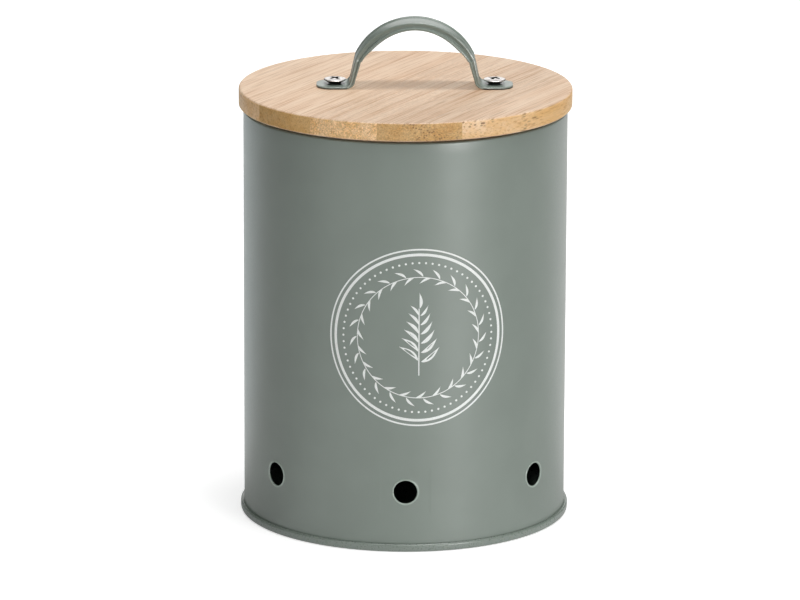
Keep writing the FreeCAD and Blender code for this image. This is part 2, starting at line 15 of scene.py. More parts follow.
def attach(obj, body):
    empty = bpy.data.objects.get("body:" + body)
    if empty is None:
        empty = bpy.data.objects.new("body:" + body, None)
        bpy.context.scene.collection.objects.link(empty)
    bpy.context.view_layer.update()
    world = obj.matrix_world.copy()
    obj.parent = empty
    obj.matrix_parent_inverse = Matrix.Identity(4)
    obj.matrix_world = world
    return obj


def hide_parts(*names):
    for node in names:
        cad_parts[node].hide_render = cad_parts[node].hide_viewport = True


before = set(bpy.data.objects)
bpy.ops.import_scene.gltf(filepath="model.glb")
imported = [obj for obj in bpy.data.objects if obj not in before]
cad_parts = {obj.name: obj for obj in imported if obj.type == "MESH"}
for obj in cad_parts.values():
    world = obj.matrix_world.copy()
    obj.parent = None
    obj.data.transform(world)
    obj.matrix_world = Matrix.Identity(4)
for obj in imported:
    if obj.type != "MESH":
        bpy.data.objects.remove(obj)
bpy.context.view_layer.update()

bl_info = {
    "name": "Garlic keeper",
    "version": (1, 0, 0),
    "blender": (4, 5, 0),
    "location": "3D View > Sidebar > Keeper",
    "description": "Builds a vented canister with a bamboo lid and a strap handle",
    "category": "Object",
}

MM = 0.001
SMOOTH_BELOW = math.radians(32)
SCRATCH_ATTRIBUTES = ("part", "place", "outward", "shape", "flat", "folded")


# --- Settings --------------------------------------------------------------------------


def length(value, description):
    """A length setting, given in millimetres."""
    return bpy.props.FloatProperty(default=value * MM, description=description,
                                   unit="LENGTH", subtype="DISTANCE", precision=5)


def angle(value, description):
    """An angle setting, given in degrees."""
    return bpy.props.FloatProperty(default=math.radians(value), description=description,
                                   unit="ROTATION", subtype="ANGLE")


def number(value, description):
    return bpy.props.FloatProperty(default=value, description=description, min=0)


def colour(value, description):
    return bpy.props.FloatVectorProperty(default=value, description=description,
                                         size=3, min=0, max=1, subtype="COLOR")


class CanisterSettings(bpy.types.PropertyGroup):
    """Sizes and paint of the wall, its vents and its base."""

    radius: length(62.5, "Outer radius of the wall")
    gauge: length(0.4, "Thickness of the steel sheet")
    rim_height: length(159.75, "Height of the rolled rim")
    curl_radius: length(1.3, "Half the width of the rolled rim")
    curl_corner: length(0.7, "Outer radius of the rolled rim's corners")
    vent_radius: length(4.5, "Radius of an air vent")
    vent_height: length(23.5, "Height of the vents' middles")
    vent_pitch: angle(52.5, "Angle from one vent to the next")
    vents: bpy.props.IntProperty(default=7, description="Number of vents")
    lock_width: length(5.0, "Width of the folded side seam")
    lock_low: length(8.0, "Height of the side seam's lower end")
    lock_high: length(154.7, "Height of the side seam's upper end")
    seam_height: length(2.95, "Height of the double seam round the base")
    seam_radius: length(63.85, "Outer radius of the double seam")
    paint: colour((0.190, 0.228, 0.198), "Colour of the satin powder coat")
    paint_roughness: number(0.35, "Roughness of the powder coat")


class LidSettings(bpy.types.PropertyGroup):
    """Sizes and wood of the lid's two layers, and its ring."""

    radius: length(64.25, "Outer radius of the upper layer")
    underside: length(160.8, "Height of the upper layer's underside")
    thickness: length(7.2, "Thickness of the upper layer")
    edge_round: length(0.8, "Rounding of the upper layer's edges")
    strip_width: length(27.0, "Width of a whole strip")
    upper_first: length(-60.7, "Place of the upper layer's first joint")
    lower_first: length(-40.5, "Place of the lower layer's first joint")
    grain: angle(-28.5, "Turn of the strips from +X, across the grain")
    plug_radius: length(58.7, "Radius of the lower layer")
    plug_depth: length(6.3, "Thickness of the lower layer")
    groove_top: length(159.5, "Height of the top of the ring's groove")
    groove_height: length(3.2, "Height of the ring's groove")
    groove_depth: length(2.0, "Depth of the ring's groove")
    face: colour((0.74, 0.56, 0.405), "Pale tone of the sanded face")
    edge: colour((0.70, 0.49, 0.29), "Palest tone of the turned edge")
    gold: colour((0.62, 0.385, 0.145), "Most golden tone of the turned edge")
    streak: colour((0.72, 0.60, 0.50), "Tint of the streaks along the grain")
    bundle: colour((0.22, 0.11, 0.04), "Dark tone of the fibre bundles")


class HandleSettings(bpy.types.PropertyGroup):
    """Sizes of the strap handle and its screws."""

    middle: length(3.5, "Handle's middle to the lid's middle, along X")
    base: length(168.0, "Height of the lid's top")
    rise: length(26.0, "Lid's top to the handle's top")
    half_length: length(37.8, "Middle of the handle to a foot's end")
    leg_face: length(25.5, "Middle of the handle to a leg's outer face, at the lid")
    lean: angle(13.0, "Lean of the legs from upright")
    arch_radius: length(25.3, "Outer radius of the arch")
    blend: length(4.0, "Outer radius between arch and leg")
    bend: length(2.5, "Inner bend radius between leg and foot")
    gauge: length(1.0, "Thickness of the strap")
    half_width: length(7.5, "Half the width of the strap")
    foot_round: length(5.5, "Corner radius of the feet's ends")
    screw_reach: length(30.7, "Middle of the handle to a screw")
    head_radius: length(4.3, "Radius of a screw's head")
    head_height: length(2.3, "Height of a screw's head")
    head_rim: length(1.8, "Height of the rim of a screw's head")
    shank_radius: length(1.75, "Radius of a screw's shank")
    screw_length: length(12.0, "Underside of the head to the tip")


class EmblemSettings(bpy.types.PropertyGroup):
    """Place and sizes of the printed badge."""

    azimuth: angle(4.5, "Turn of the badge from the front, towards +X")
    height: length(84.35, "Height of the badge's middle")
    outer_ring: length(34.4, "Middle radius of the outer ring")
    outer_line: length(0.62, "Width of the outer ring")
    inner_ring: length(32.4, "Middle radius of the inner ring")
    inner_line: length(1.05, "Width of the inner ring")
    bead_ring: length(29.2, "Radius of the ring of beads")
    wreath: length(23.6, "Radius of the wreath's stem")
    ink: colour((0.86, 0.88, 0.86), "Colour of the printed ink")


class StageSettings(bpy.types.PropertyGroup):
    """Camera, floor and light."""

    camera_place: bpy.props.FloatVectorProperty(default=(-0.0184, -2.2068, 0.6628), size=3,
                                                subtype="TRANSLATION",
                                                description="Place of the camera")
    camera_down: angle(14.7264, "Tilt of the camera below level")
    camera_turn: angle(-0.4295, "Turn of the camera from +Y")
    camera_roll: angle(0.207, "Roll of the camera")
    lens: number(264.26, "Focal length in millimetres")
    floor: colour((0.70, 0.70, 0.70), "Colour of the floor")
    sky: number(0.05, "Brightness of the even fill light")
    glow: number(0.6, "Brightness the camera adds to the floor")
    mirrored: number(0.45, "Brightness the paint's gloss adds to the floor")
    carded: number(0.1, "Mirrored glow at the object's two sides")


SETTINGS = {
    "keeper_canister": CanisterSettings,
    "keeper_lid": LidSettings,
    "keeper_handle": HandleSettings,
    "keeper_emblem": EmblemSettings,
    "keeper_stage": StageSettings,
}


# --- Node trees ------------------------------------------------------------------------


class Value:
    """A node's output, to write formulas with."""

    def __init__(self, nodes, socket):
        self.nodes = nodes
        self.socket = socket

    def calc(self, operation, *others):
        return self.nodes.out("ShaderNodeMath", self, *others, operation=operation)

    def __add__(self, other):
        return self.calc("ADD", other)

    def __sub__(self, other):
        return self.calc("SUBTRACT", other)

    def __mul__(self, other):
        return self.calc("MULTIPLY", other)

    def __truediv__(self, other):
        return self.calc("DIVIDE", other)


class Nodes:
    """A node tree that is being built."""

    def __init__(self, tree):
        self.tree = tree

    def add(self, kind, *numbered, **named):
        """Adds a node. None leaves a numbered socket alone.

        Names with a capital are sockets, names without one are the node's own settings.
        """
        node = self.tree.nodes.new(kind)
        sockets = dict(enumerate(numbered))
        for name, value in named.items():
            if name[0].islower():
                setattr(node, name, value)
            else:
                sockets[name.replace("_", " ")] = value
        for key, value in sockets.items():
            if isinstance(value, Value):
                self.tree.links.new(value.socket, node.inputs[key])
            elif value is not None:
                node.inputs[key].default_value = value
        return node

    def out(self, kind, *numbered, output=0, **named):
        """Adds a node and gives one of its outputs."""
        return Value(self, self.add(kind, *numbered, **named).outputs[output])

    def parts(self, vector):
        """X, Y and Z of a vector."""
        split = self.add("ShaderNodeSeparateXYZ", vector)
        return [Value(self, socket) for socket in split.outputs]

    def point(self, x=0, y=0, z=0):
        return self.out("ShaderNodeCombineXYZ", x, y, z)

    def vector(self, operation, first, second):
        return self.out("ShaderNodeVectorMath", first, second, operation=operation)

    def scaled(self, vector, factor):
        return self.out("ShaderNodeVectorMath", vector, Scale=factor, operation="SCALE")

    def grade(self, value, start, end, low=0, high=1):
        """Maps a value from start..end to low..high, smoothly and clamped."""
        return self.out("ShaderNodeMapRange", value, start, end, low, high,
                        interpolation_type="SMOOTHSTEP")

    def ray(self, kind):
        return self.out("ShaderNodeLightPath", output=f"Is {kind} Ray")

    def blend(self, share, first, second, blend_type="MIX"):
        """Mixes two colours."""
        colours = [shade if isinstance(shade, Value) else (*shade, 1)
                   for shade in (first, second)]
        return self.out("ShaderNodeMix", share, *[None] * 5, *colours, output=2,
                        data_type="RGBA", blend_type=blend_type)


class Material(Nodes):
    """A material that is being built from the place on the object."""

    def __init__(self, name):
        self.made = bpy.data.materials.new(name)
        self.made.use_nodes = True
        super().__init__(self.made.node_tree)
        self.tree.nodes.clear()
        self.place = self.out("ShaderNodeTexCoord", output="Object")

    def noise(self, scale, detail=2, roughness=0.5, place=None):
        return self.out("ShaderNodeTexNoise", Vector=place or self.place, Scale=scale,
                        Detail=detail, Roughness=roughness)

    def upward(self):
        """How far the surface faces up."""
        return self.parts(self.out("ShaderNodeNewGeometry", output="Normal"))[2]

    def bump(self, height, distance):
        """A normal with relief from a height; the distance is in metres."""
        return self.out("ShaderNodeBump", Height=height, Distance=distance, Strength=1)

    def finish(self, tone, roughness, **sockets):
        """Ends the tree with its shader."""
        shader = self.out("ShaderNodeBsdfPrincipled", Base_Color=tone, Roughness=roughness,
                          **sockets)
        self.add("ShaderNodeOutputMaterial", shader)
        return self.made


class Recipe(Nodes):
    """A Geometry Nodes tree with named inputs, each told with its value."""

    def __init__(self, name, **values):
        super().__init__(bpy.data.node_groups.new(name, "GeometryNodeTree"))
        self.values = {label.replace("_", " "): value for label, value in values.items()}
        self.new_socket("Geometry", "INPUT", "Geometry")
        for label, value in self.values.items():
            kind = {int: "Int", float: "Float", tuple: "Vector"}[type(value)]
            self.new_socket(label, "INPUT", kind).default_value = value
        self.new_socket("Geometry", "OUTPUT", "Geometry")
        group = self.add("NodeGroupInput").outputs
        self.start = Value(self, group[0])
        self.given = [Value(self, group[label]) for label in self.values]

    def new_socket(self, label, in_out, kind):
        return self.tree.interface.new_socket(label, in_out=in_out,
                                              socket_type=f"NodeSocket{kind}")

    def geo(self, kind, *numbered, **named):
        return self.out(f"GeometryNode{kind}", *numbered, **named)

    def join(self, pieces):
        joined = self.add("GeometryNodeJoinGeometry")
        for piece in pieces:
            self.tree.links.new(piece.socket, joined.inputs[0])
        return Value(self, joined.outputs[0])

    def tagged(self, tag, **settings):
        """The starting geometry in two: what carries a part tag, and the rest."""
        part = self.geo("InputNamedAttribute", Name="part", data_type="INT")
        chosen = self.out("FunctionNodeCompare", None, None, part, tag, data_type="INT",
                          operation="EQUAL")
        split = self.add("GeometryNodeSeparateGeometry", self.start, chosen, **settings)
        return [Value(self, half) for half in split.outputs]

    def scatter(self, points, shape, turn=0, size=1):
        """Copies a shape to points, turned about Z and scaled."""
        return self.geo("InstanceOnPoints", Points=points, Instance=shape,
                        Rotation=self.point(z=turn), Scale=self.point(size, size, size))

    def run(self, made, geometry, material):
        """Realizes the geometry on an object, gives it its material, and keeps a plain mesh."""
        real = self.geo("RealizeInstances", geometry)
        self.add("NodeGroupOutput", self.geo("SetMaterial", Geometry=real, Material=material))
        modifier = made.modifiers.new(self.tree.name, "NODES")
        modifier.node_group = self.tree
        for socket in self.tree.interface.items_tree:
            if socket.in_out == "INPUT" and socket.name in self.values:
                modifier[socket.identifier] = self.values[socket.name]
        keep_as_mesh(made, modifier)
        if not made.data.polygons:
            raise RuntimeError(f"{self.tree.name} made nothing")
        finish_mesh(made.data, material)
        return made


# --- Materials -------------------------------------------------------------------------


def times(shade, factor):
    return tuple(channel * factor for channel in shade)


def vent_rims(nodes, settings):
    """1 at the rims of the vents and 0 elsewhere on the wall: where the painted highlight goes.
    """
    x, y, z = nodes.parts(nodes.place)
    half = settings.vent_pitch / 2
    across = x.calc("ARCTAN2", y * -1).calc("WRAP", half, -half) * settings.radius
    up = z - settings.vent_height
    away = (across * across + up * up).calc("SQRT")
    rim = settings.vent_radius
    return nodes.grade(away, rim + 0.4 * MM, rim + 0.85 * MM, 1, 0)


def sage_paint(name, settings, smoother=0, vented=False, shadow_below=None):
    """Satin powder coat: a fine orange peel and a faint mottling of its gloss.

    Round the vents the coat is paler, a painted highlight on the eased edges. Below a height
    it is nearly black, a painted contact shadow.
    """
    nodes = Material(name)
    cloud, peel, grit = nodes.noise(60), nodes.noise(1500), nodes.noise(5200, 1)
    pale = times(settings.paint, 1.03)
    tone = nodes.blend(nodes.grade(cloud, 0.3, 0.7), times(settings.paint, 0.98), pale)
    tone = nodes.blend(nodes.grade(grit, 0.62, 0.8, 0, 0.25), tone, pale)
    if vented:
        # Paler rims round the vents: a painted highlight on their eased edges.
        painted_rim_highlight = times(settings.paint, 1.75)
        tone = nodes.blend(vent_rims(nodes, settings), tone, painted_rim_highlight)
    # Nearly black below a height: a painted contact shadow under the handle's feet.
    if shadow_below is not None:
        height = nodes.parts(nodes.place)[2]
        painted_shadow = nodes.grade(height, shadow_below - 0.08 * MM, shadow_below, 1, 0)
        tone = nodes.blend(painted_shadow, tone, (0.012, 0.012, 0.012))
    gloss = settings.paint_roughness - smoother
    return nodes.finish(tone, nodes.grade(peel, 0.25, 0.75, gloss - 0.03, gloss + 0.04),
                        IOR=1.7, Normal=nodes.bump(peel + grit * 0.2, 0.008 * MM))


def bamboo(name, settings, tone, shift, middle):
    """Solid bamboo: long dark bundles of fibre that run along the grain through pale wood.

    The bundles show as streaks on the faces and as dots where the edge is cut across them.
    """
    nodes = Material(name)
    own = nodes.out("ShaderNodeMapping", Vector=nodes.place,
                    Location=(shift, shift * 0.7, shift * 0.3),
                    Rotation=(0, 0, -settings.grain))

    def along(share):
        """The wood's own space, drawn out along the grain."""
        return nodes.vector("MULTIPLY", own, (1, share, 1))

    cells = nodes.out("ShaderNodeTexVoronoi", Vector=along(0.05), Scale=880 / tone.size,
                      Randomness=1, output="Distance")
    fibre = nodes.noise(1350, 4, 0.62, along(0.018))
    hair = nodes.noise(2000, 2, 0.5, along(0.010))
    band = nodes.noise(170, 3, 0.6, along(0.03))
    patch = nodes.noise(75, 2, 0.5, along(0.3))
    speck = nodes.noise(1900, 2, 0.7, along(0.2))
    # Pale face tone where the surface faces up or down. It reaches onto the rounded edges, where
    # the paler line is partly a painted highlight.
    face = nodes.grade(nodes.upward().calc("ABSOLUTE"), 0.3, 0.75)

    face_tint = times(settings.face, tone.face)
    warm = tuple(channel * tint for channel, tint in zip(face_tint, (0.90, 0.82, 0.75)))
    sides = [tuple((pale + (golden - pale) * gold) * tone.edge
                   for pale, golden in zip(settings.edge, settings.gold)) for gold in tone.gold]
    half = settings.strip_width / 2
    side = nodes.grade(nodes.parts(own)[0], shift + middle - half, shift + middle + half)
    edge_tint = nodes.blend(side, *sides)
    honey = nodes.blend(1, edge_tint, (0.92, 0.82, 0.62), "MULTIPLY")
    tide = nodes.grade(band, 0.32, 0.68)
    wood = nodes.blend(face, nodes.blend(tide, edge_tint, honey),
                       nodes.blend(tide, face_tint, warm))
    line = nodes.grade(fibre, 0.50, 0.66, 0, 0.75).calc(
        "MAXIMUM", nodes.grade(hair, 0.59, 0.67, 0, 1.1) * face)
    wood = nodes.blend(line, wood, settings.streak, "MULTIPLY")
    glint = nodes.grade(speck, 0.35, 0.68, -tone.grit, tone.grit) * (face * -0.7 + 1)
    wood = nodes.out("ShaderNodeHueSaturation", Color=wood, Value=glint + 1)
    dot = nodes.grade(cells, 0.20, 0.42, 1, 0) * nodes.grade(patch, 0.44, 0.58)
    depth = nodes.grade(face, 0, 1, 0.8 * tone.dots, 0.32 * tone.dots)
    wood = nodes.blend(dot * depth, wood, settings.bundle)
    return nodes.finish(wood, nodes.grade(fibre, 0.3, 0.7, 0.50, 0.64),
                        Normal=nodes.bump(fibre + dot * -0.8, 0.05 * MM))


def recess_shade(nodes, given):
    """1 inside the cross recesses of the screws and 0 on their domes: where painted shade goes.
    """
    x, y, z = nodes.parts(nodes.place)
    away = (x - given.middle).calc("ABSOLUTE") - given.screw_reach
    square = away * away + y * y
    top = given.base + given.gauge + given.head_height
    dome = square * ((given.head_rim - given.head_height) / given.head_radius ** 2) + top
    inside = nodes.grade(square, (2.3 * MM) ** 2, (2.6 * MM) ** 2, 1, 0)
    return inside * nodes.grade(dome - z, 0.05 * MM, 0.3 * MM)


def bright_steel(given):
    """Zinc-bright steel with faint marks; its recesses and downward faces get painted shade."""
    nodes = Material("bright_steel")
    mark = nodes.noise(2200, 3)
    cloud = nodes.noise(520)
    tone = nodes.blend(nodes.grade(cloud, 0.35, 0.65), (0.86, 0.83, 0.80), (0.68, 0.65, 0.63))
    # Painted shade: darker where the surface faces down and inside the cross recesses.
    painted_shade = nodes.grade(nodes.upward(), -0.35, -0.1, 1, 0).calc(
        "MAXIMUM", recess_shade(nodes, given))
    tone = nodes.blend(painted_shade, tone, (0.10, 0.09, 0.085))
    return nodes.finish(tone, nodes.grade(mark, 0.3, 0.7, 0.30, 0.42), Metallic=1,
                        Normal=nodes.bump(cloud, 0.06 * MM))


def silicone():
    """Milky silicone rubber."""
    nodes = Material("milky_silicone")
    cloud = nodes.noise(300)
    tone = nodes.blend(nodes.grade(cloud, 0.3, 0.7), (0.74, 0.74, 0.71), (0.68, 0.68, 0.66))
    return nodes.finish(tone, nodes.grade(cloud, 0.3, 0.7, 0.42, 0.52), Subsurface_Weight=0.2,
                        Subsurface_Radius=(2 * MM, 2 * MM, 2 * MM))


def printed_ink(ink):
    """Matt screen-printed ink, a little worn."""
    nodes = Material("white_ink")
    marks = nodes.noise(2600)
    tone = nodes.blend(nodes.grade(marks, 0.45, 0.75), ink, times(ink, 0.9))
    return nodes.finish(tone, nodes.grade(marks, 0.3, 0.7, 0.45, 0.6))


# --- Meshes ----------------------------------------------------------------------------


def mesh_object(name, points, faces=(), edges=()):
    """An object at the origin, from points in metres."""
    mesh = bpy.data.meshes.new(name)
    mesh.from_pydata(points, edges, faces)
    made = bpy.data.objects.new(name, mesh)
    bpy.context.scene.collection.objects.link(made)
    return made


def store(made, name, kind, domain, rows):
    """Stores a row of values on each point or face of an object's mesh."""
    attribute = made.data.attributes.new(name, kind, domain)
    if kind == "INT":
        attribute.data.foreach_set("value", rows)
    else:
        attribute.data.foreach_set("vector", [value for row in rows for value in row])


def keep_as_mesh(made, modifier):
    """Keeps what a modifier makes of an object as its plain mesh."""
    depsgraph = bpy.context.evaluated_depsgraph_get()
    result = bpy.data.meshes.new_from_object(made.evaluated_get(depsgraph),
                                             preserve_all_data_layers=True, depsgraph=depsgraph)
    made.modifiers.remove(modifier)
    raw = made.data
    made.data = result
    bpy.data.meshes.remove(raw)
    result.name = made.name
    for name in SCRATCH_ATTRIBUTES:
        if name in result.attributes:
            result.attributes.remove(result.attributes[name])


def close_holes(work):
    """Closes every open loop of a mesh with one flat face."""
    rims = [edge for edge in work.edges if edge.is_boundary]
    bmesh.ops.holes_fill(work, edges=rims, sides=0)


def finish_mesh(mesh, material, merge=1e-7):
    """Merges doubles, closes open ends, faces outwards, and smooths between sharp edges."""
    work = bmesh.new()
    work.from_mesh(mesh)
    bmesh.ops.remove_doubles(work, verts=work.verts, dist=merge)
    bmesh.ops.dissolve_degenerate(work, edges=work.edges, dist=merge)
    close_holes(work)
    bmesh.ops.recalc_face_normals(work, faces=work.faces)
    for face in work.faces:
        face.smooth = True
    for edge in work.edges:
        edge.smooth = edge.calc_face_angle(math.pi) < SMOOTH_BELOW
    work.to_mesh(mesh)
    work.free()
    mesh.materials.clear()
    if material:
        mesh.materials.append(material)
    mesh.update()


def spread(start, end, steps):
    return [start + (end - start) * step / steps for step in range(steps + 1)]


def arc_points(centre, radius, start, end, steps):
    """Points of an arc in a section, from angle start to end in degrees."""
    return [(centre[0] + radius * math.cos(math.radians(turn)),
             centre[1] + radius * math.sin(math.radians(turn)))
            for turn in spread(start, end, steps)]


def turned(name, section, material, segments=256, flat_ends=False):
    """A solid of revolution from a section of (radius, height) points in millimetres.

    The section is a closed one, or it ends at two flat faces that are closed across.
    """
    reach = max(r for r, _ in section)
    points = [((r - reach) * MM, -z * MM, 0) for r, z in section]
    edges = [(i, (i + 1) % len(points)) for i in range(len(points) - flat_ends)]
    nodes = Recipe("turned_section", Path_radius=reach * MM, Segments=segments)
    radius, resolution = nodes.given
    path = nodes.geo("CurvePrimitiveCircle", Radius=radius, Resolution=resolution)
    level = nodes.geo("SetCurveNormal", Curve=path, mode="Z_UP")
    line = nodes.geo("MeshToCurve", Mesh=nodes.start)
    swept = nodes.geo("CurveToMesh", Curve=level, Profile_Curve=line)
    return nodes.run(mesh_object(name, points, edges=edges), swept, material)


def arcs(*rows):
    return [point for row in rows for point in arc_points(*row)]


# --- Canister --------------------------------------------------------------------------

VENTED, PLAIN, SEAM = 0, 1, 2       # the kinds of the wall's panels
VENTED_HALF = math.radians(18)      # half the angle that a vented panel takes
SEAM_HALF = math.radians(4.5)       # and the side seam's panel
FOOT = 1.1 * MM                     # height of the wall's lower end
VENT_EASE = 0.13 * MM               # rounding of a vent's edges
VENT_BEAD = 0.21 * MM               # height of the bead round a vent
# Section of the bead, inwards: place in roundings from the vent's edge, and share of its height.
BEAD = ((6.5, 0), (5.4, 0.16), (4.4, 0.6), (3.3, 0.95), (2.2, 1), (1.1, 0.72), (0.35, 0.1))


class Panels:
    """Collects the wall's panels: vented, plain, and the one with the side seam."""

    def __init__(self, settings):
        self.given = settings
        self.points, self.faces, self.kinds = [], [], []
        self.inside = settings.radius - settings.gauge
        self.patch = settings.vent_radius * 2.2
        radius, height = settings.radius / MM, settings.rim_height / MM
        curl, corner = settings.curl_radius / MM * 2, settings.curl_corner / MM
        turns = (((radius - corner, height - corner), 0),
                 ((radius - curl + corner, height - corner), 90),
                 ((radius - curl + corner, height - curl + corner), 180))
        outer = arcs(*((middle, corner, start, start + 90, 6) for middle, start in turns))
        inner = arcs(*((middle, corner - settings.gauge / MM, start + 90, start, 4)
                       for middle, start in reversed(turns)))
        self.rolled = [(r * MM, z * MM) for r, z in outer + inner]

    def face(self, kind, *corners):
        """Adds a face; a corner is its azimuth from the front towards +X, height and radius."""
        first = len(self.points)
        self.points += [(radius * math.sin(azimuth), -radius * math.cos(azimuth), height)
                        for azimuth, height, radius in corners]
        self.faces.append(tuple(range(first, first + len(corners))))
        self.kinds.append(kind)

    def span(self, kind, left, right, low, high, *radii):
        """Adds a face between two azimuths and two heights."""
        self.face(kind, *zip((left, right, right, left), (low, low, high, high), radii))

    def skins(self, kind, azimuths, outer_radii=None, inner_radii=None, hole=()):
        """Both skins between the azimuths, with the rolled rim and a closed foot.

        Along the side seam the skins have radii of their own. The hole's columns stay open
        in the third row, for the patch round a vent.
        """
        given, patch = self.given, self.patch
        rows = [FOOT, given.lock_low, given.vent_height - patch]
        rows += spread(given.vent_height + patch, given.lock_high, 8) + [self.rolled[0][1]]
        for column, (left, right) in enumerate(zip(azimuths, azimuths[1:])):
            for row, (low, high) in enumerate(zip(rows, rows[1:])):
                if row == 2 and column in hole:
                    continue
                locked = 0 < row < len(rows) - 2
                for usual, radii in ((given.radius, outer_radii), (self.inside, inner_radii)):
                    a, b = radii[column:column + 2] if locked and radii else (usual, usual)
                    self.span(kind, left, right, low, high, a, b, b, a)
            for (r1, z1), (r2, z2) in zip(self.rolled, self.rolled[1:]):
                self.span(kind, left, right, z1, z2, r1, r1, r2, r2)
            self.span(kind, left, right, FOOT, FOOT, given.radius, given.radius,
                      self.inside, self.inside)

    def vent(self, kind, steps):
        """The patch round a vent at the front: both skins, and a hole with a raised bead."""
        given, reach = self.given, self.patch
        radius, gauge, edge = given.vent_radius, given.gauge, given.vent_radius + VENT_EASE
        slides = spread(-reach, reach, steps)[:-1]
        border = [(slide, -reach) for slide in slides] + [(reach, slide) for slide in slides]
        border += [(-slide, reach) for slide in slides] + [(-reach, -slide) for slide in slides]
        # Loops round the vent: depth, radius, and share of the patch's square border.
        loops = [(0, edge, share) for share in (1, 0.7, 0.42, 0.2)]
        loops += [(-VENT_BEAD * proud, radius + VENT_EASE * wide, 0) for wide, proud in BEAD]
        loops += [(VENT_EASE, radius, 0), (gauge - VENT_EASE, radius, 0),
                  (gauge - VENT_EASE * 0.3, radius + VENT_EASE * 0.3, 0), (gauge, edge, 0)]
        loops += [(gauge, edge, share) for share in (0.08, 0.2, 0.42, 0.7, 1)]
        placed = []
        for depth, round_reach, share in loops:
            near = round_reach * (1 - share)
            turns = [(x, y, math.atan2(y, x)) for x, y in border]
            placed.append([((x * share + math.cos(turn) * near) / given.radius,
                            given.vent_height + y * share + math.sin(turn) * near,
                            given.radius - depth) for x, y, turn in turns])
        for first, second in zip(placed, placed[1:]):
            for step in range(len(border)):
                after = (step + 1) % len(border)
                self.face(kind, first[step], first[after], second[after], second[step])


def wall_panels(settings):
    """One panel of each kind."""
    panels = Panels(settings)
    patch_half = panels.patch / settings.radius
    columns, steps = 6, 12
    azimuths = spread(-VENTED_HALF, -patch_half, columns)[:-1]
    azimuths += spread(-patch_half, patch_half, steps)
    azimuths += spread(patch_half, VENTED_HALF, columns)[1:]
    panels.skins(VENTED, azimuths, hole=range(columns, columns + steps))
    panels.vent(VENTED, steps)
    panels.skins(PLAIN, spread(VENTED_HALF, settings.vent_pitch - VENTED_HALF, 12))

    half = settings.lock_width / 2 / settings.radius
    line, lip = 0.3 * MM / settings.radius, 0.06 * MM / settings.radius
    full, inner = settings.radius, panels.inside
    sunk, band = full - 0.15 * MM, full - settings.gauge * 3
    stops = ((-SEAM_HALF, full, inner), (-half - lip * 4, full, inner), (-half, full, band),
             (0, full, band), (half - lip, full, band), (half, sunk, band),
             (half + line - lip, sunk, inner), (half + line, full, inner),
             (SEAM_HALF, full, inner))
    turns, outer_radii, inner_radii = zip(*stops)
    panels.skins(SEAM, [math.pi + turn for turn in turns], outer_radii, inner_radii)
    return panels


def build_wall(settings, paint):
    """Copies the vented and the plain panel round the wall, and keeps the seam's panel once."""
    panels = wall_panels(settings)
    wall = mesh_object("canister_shell", panels.points, panels.faces)
    store(wall, "part", "INT", "FACE", panels.kinds)
    nodes = Recipe("vented_wall", Vents=settings.vents, Pitch=settings.vent_pitch, Merge=1e-6)
    vents, pitch, merge = nodes.given
    turn = pitch * ((vents - 1) * -0.5) + nodes.geo("InputIndex") * pitch
    pieces = []
    for kind, count in ((VENTED, vents), (PLAIN, vents - 1)):
        spots = nodes.geo("MeshLine", Count=count, Offset=(0, 0, 0))
        pieces.append(nodes.scatter(spots, nodes.tagged(kind, domain="FACE")[0], turn))
    pieces.append(nodes.tagged(SEAM, domain="FACE")[0])
    real = nodes.geo("RealizeInstances", nodes.join(pieces))
    return nodes.run(wall, nodes.geo("MergeByDistance", Geometry=real, Distance=merge), paint)


def base_section(settings):
    """Section of the pressed base and its double seam."""
    outside, gauge = settings.radius / MM, settings.gauge / MM
    band, top = settings.seam_radius / MM, settings.seam_height / MM
    inside = outside - gauge - 0.05 - gauge
    ring, low, bend, step = 4.6, 2.8, 0.6, 46.0
    corner, fold = 0.8, (band - outside - 0.05) / 2
    wide = bend + gauge
    tray, rise = (step - wide, low + wide), (step + bend, ring - bend)
    fall, toe = (inside - bend, ring - bend), (inside + corner, corner)
    heel, seam = (band - corner, corner), (outside + 0.05 + fold, top - fold)
    under = arcs((tray, wide, -90, 0, 6), (rise, bend, 180, 90, 5), (fall, bend, 90, 0, 5),
                 (toe, corner, 180, 270, 6), (heel, corner, 270, 360, 6),
                 (seam, fold, 0, 115, 10))
    crevice = [(outside + 0.03, top - 0.1), (outside + 0.03, 1.6), (outside + 0.45, 1.6)]
    over = arcs((seam, fold - gauge, 180, 0, 8), (heel, corner - gauge, 360, 270, 4),
                (toe, corner - gauge, 270, 180, 4), (fall, wide, 0, 90, 6),
                (rise, wide, 90, 180, 6), (tray, bend, 360, 270, 5))
    return [(step / 2, low), *under, *crevice, *over, (step / 2, low + gauge)]


class KEEPER_OT_canister(bpy.types.Operator):
    """Builds the painted wall with its vents, rolled rim and side seam, and the seamed base"""

    bl_idname = "keeper.canister"
    bl_label = "Canister"

    def execute(self, context):
        settings = context.scene.keeper_canister
        wall = build_wall(settings, sage_paint("sage_powder_coat", settings, vented=True))
        base = turned("canister_base", base_section(settings),
                      sage_paint("sage_powder_coat_base", settings, 0.06), flat_ends=True)
        for piece, node in ((wall, "canister_wall"), (base, "base_disc")):
            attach(piece, "canister")
            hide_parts(node)
        return {"FINISHED"}


# --- Lid -------------------------------------------------------------------------------

# How one strip's wood differs from the next: brightness of its face and of its edge, from pale
# to golden at its low side and at its high side, how dark and how thick its bundles of fibre
# are, and how speckled its edge is.
Tone = namedtuple("Tone", "face edge gold dots size grit")

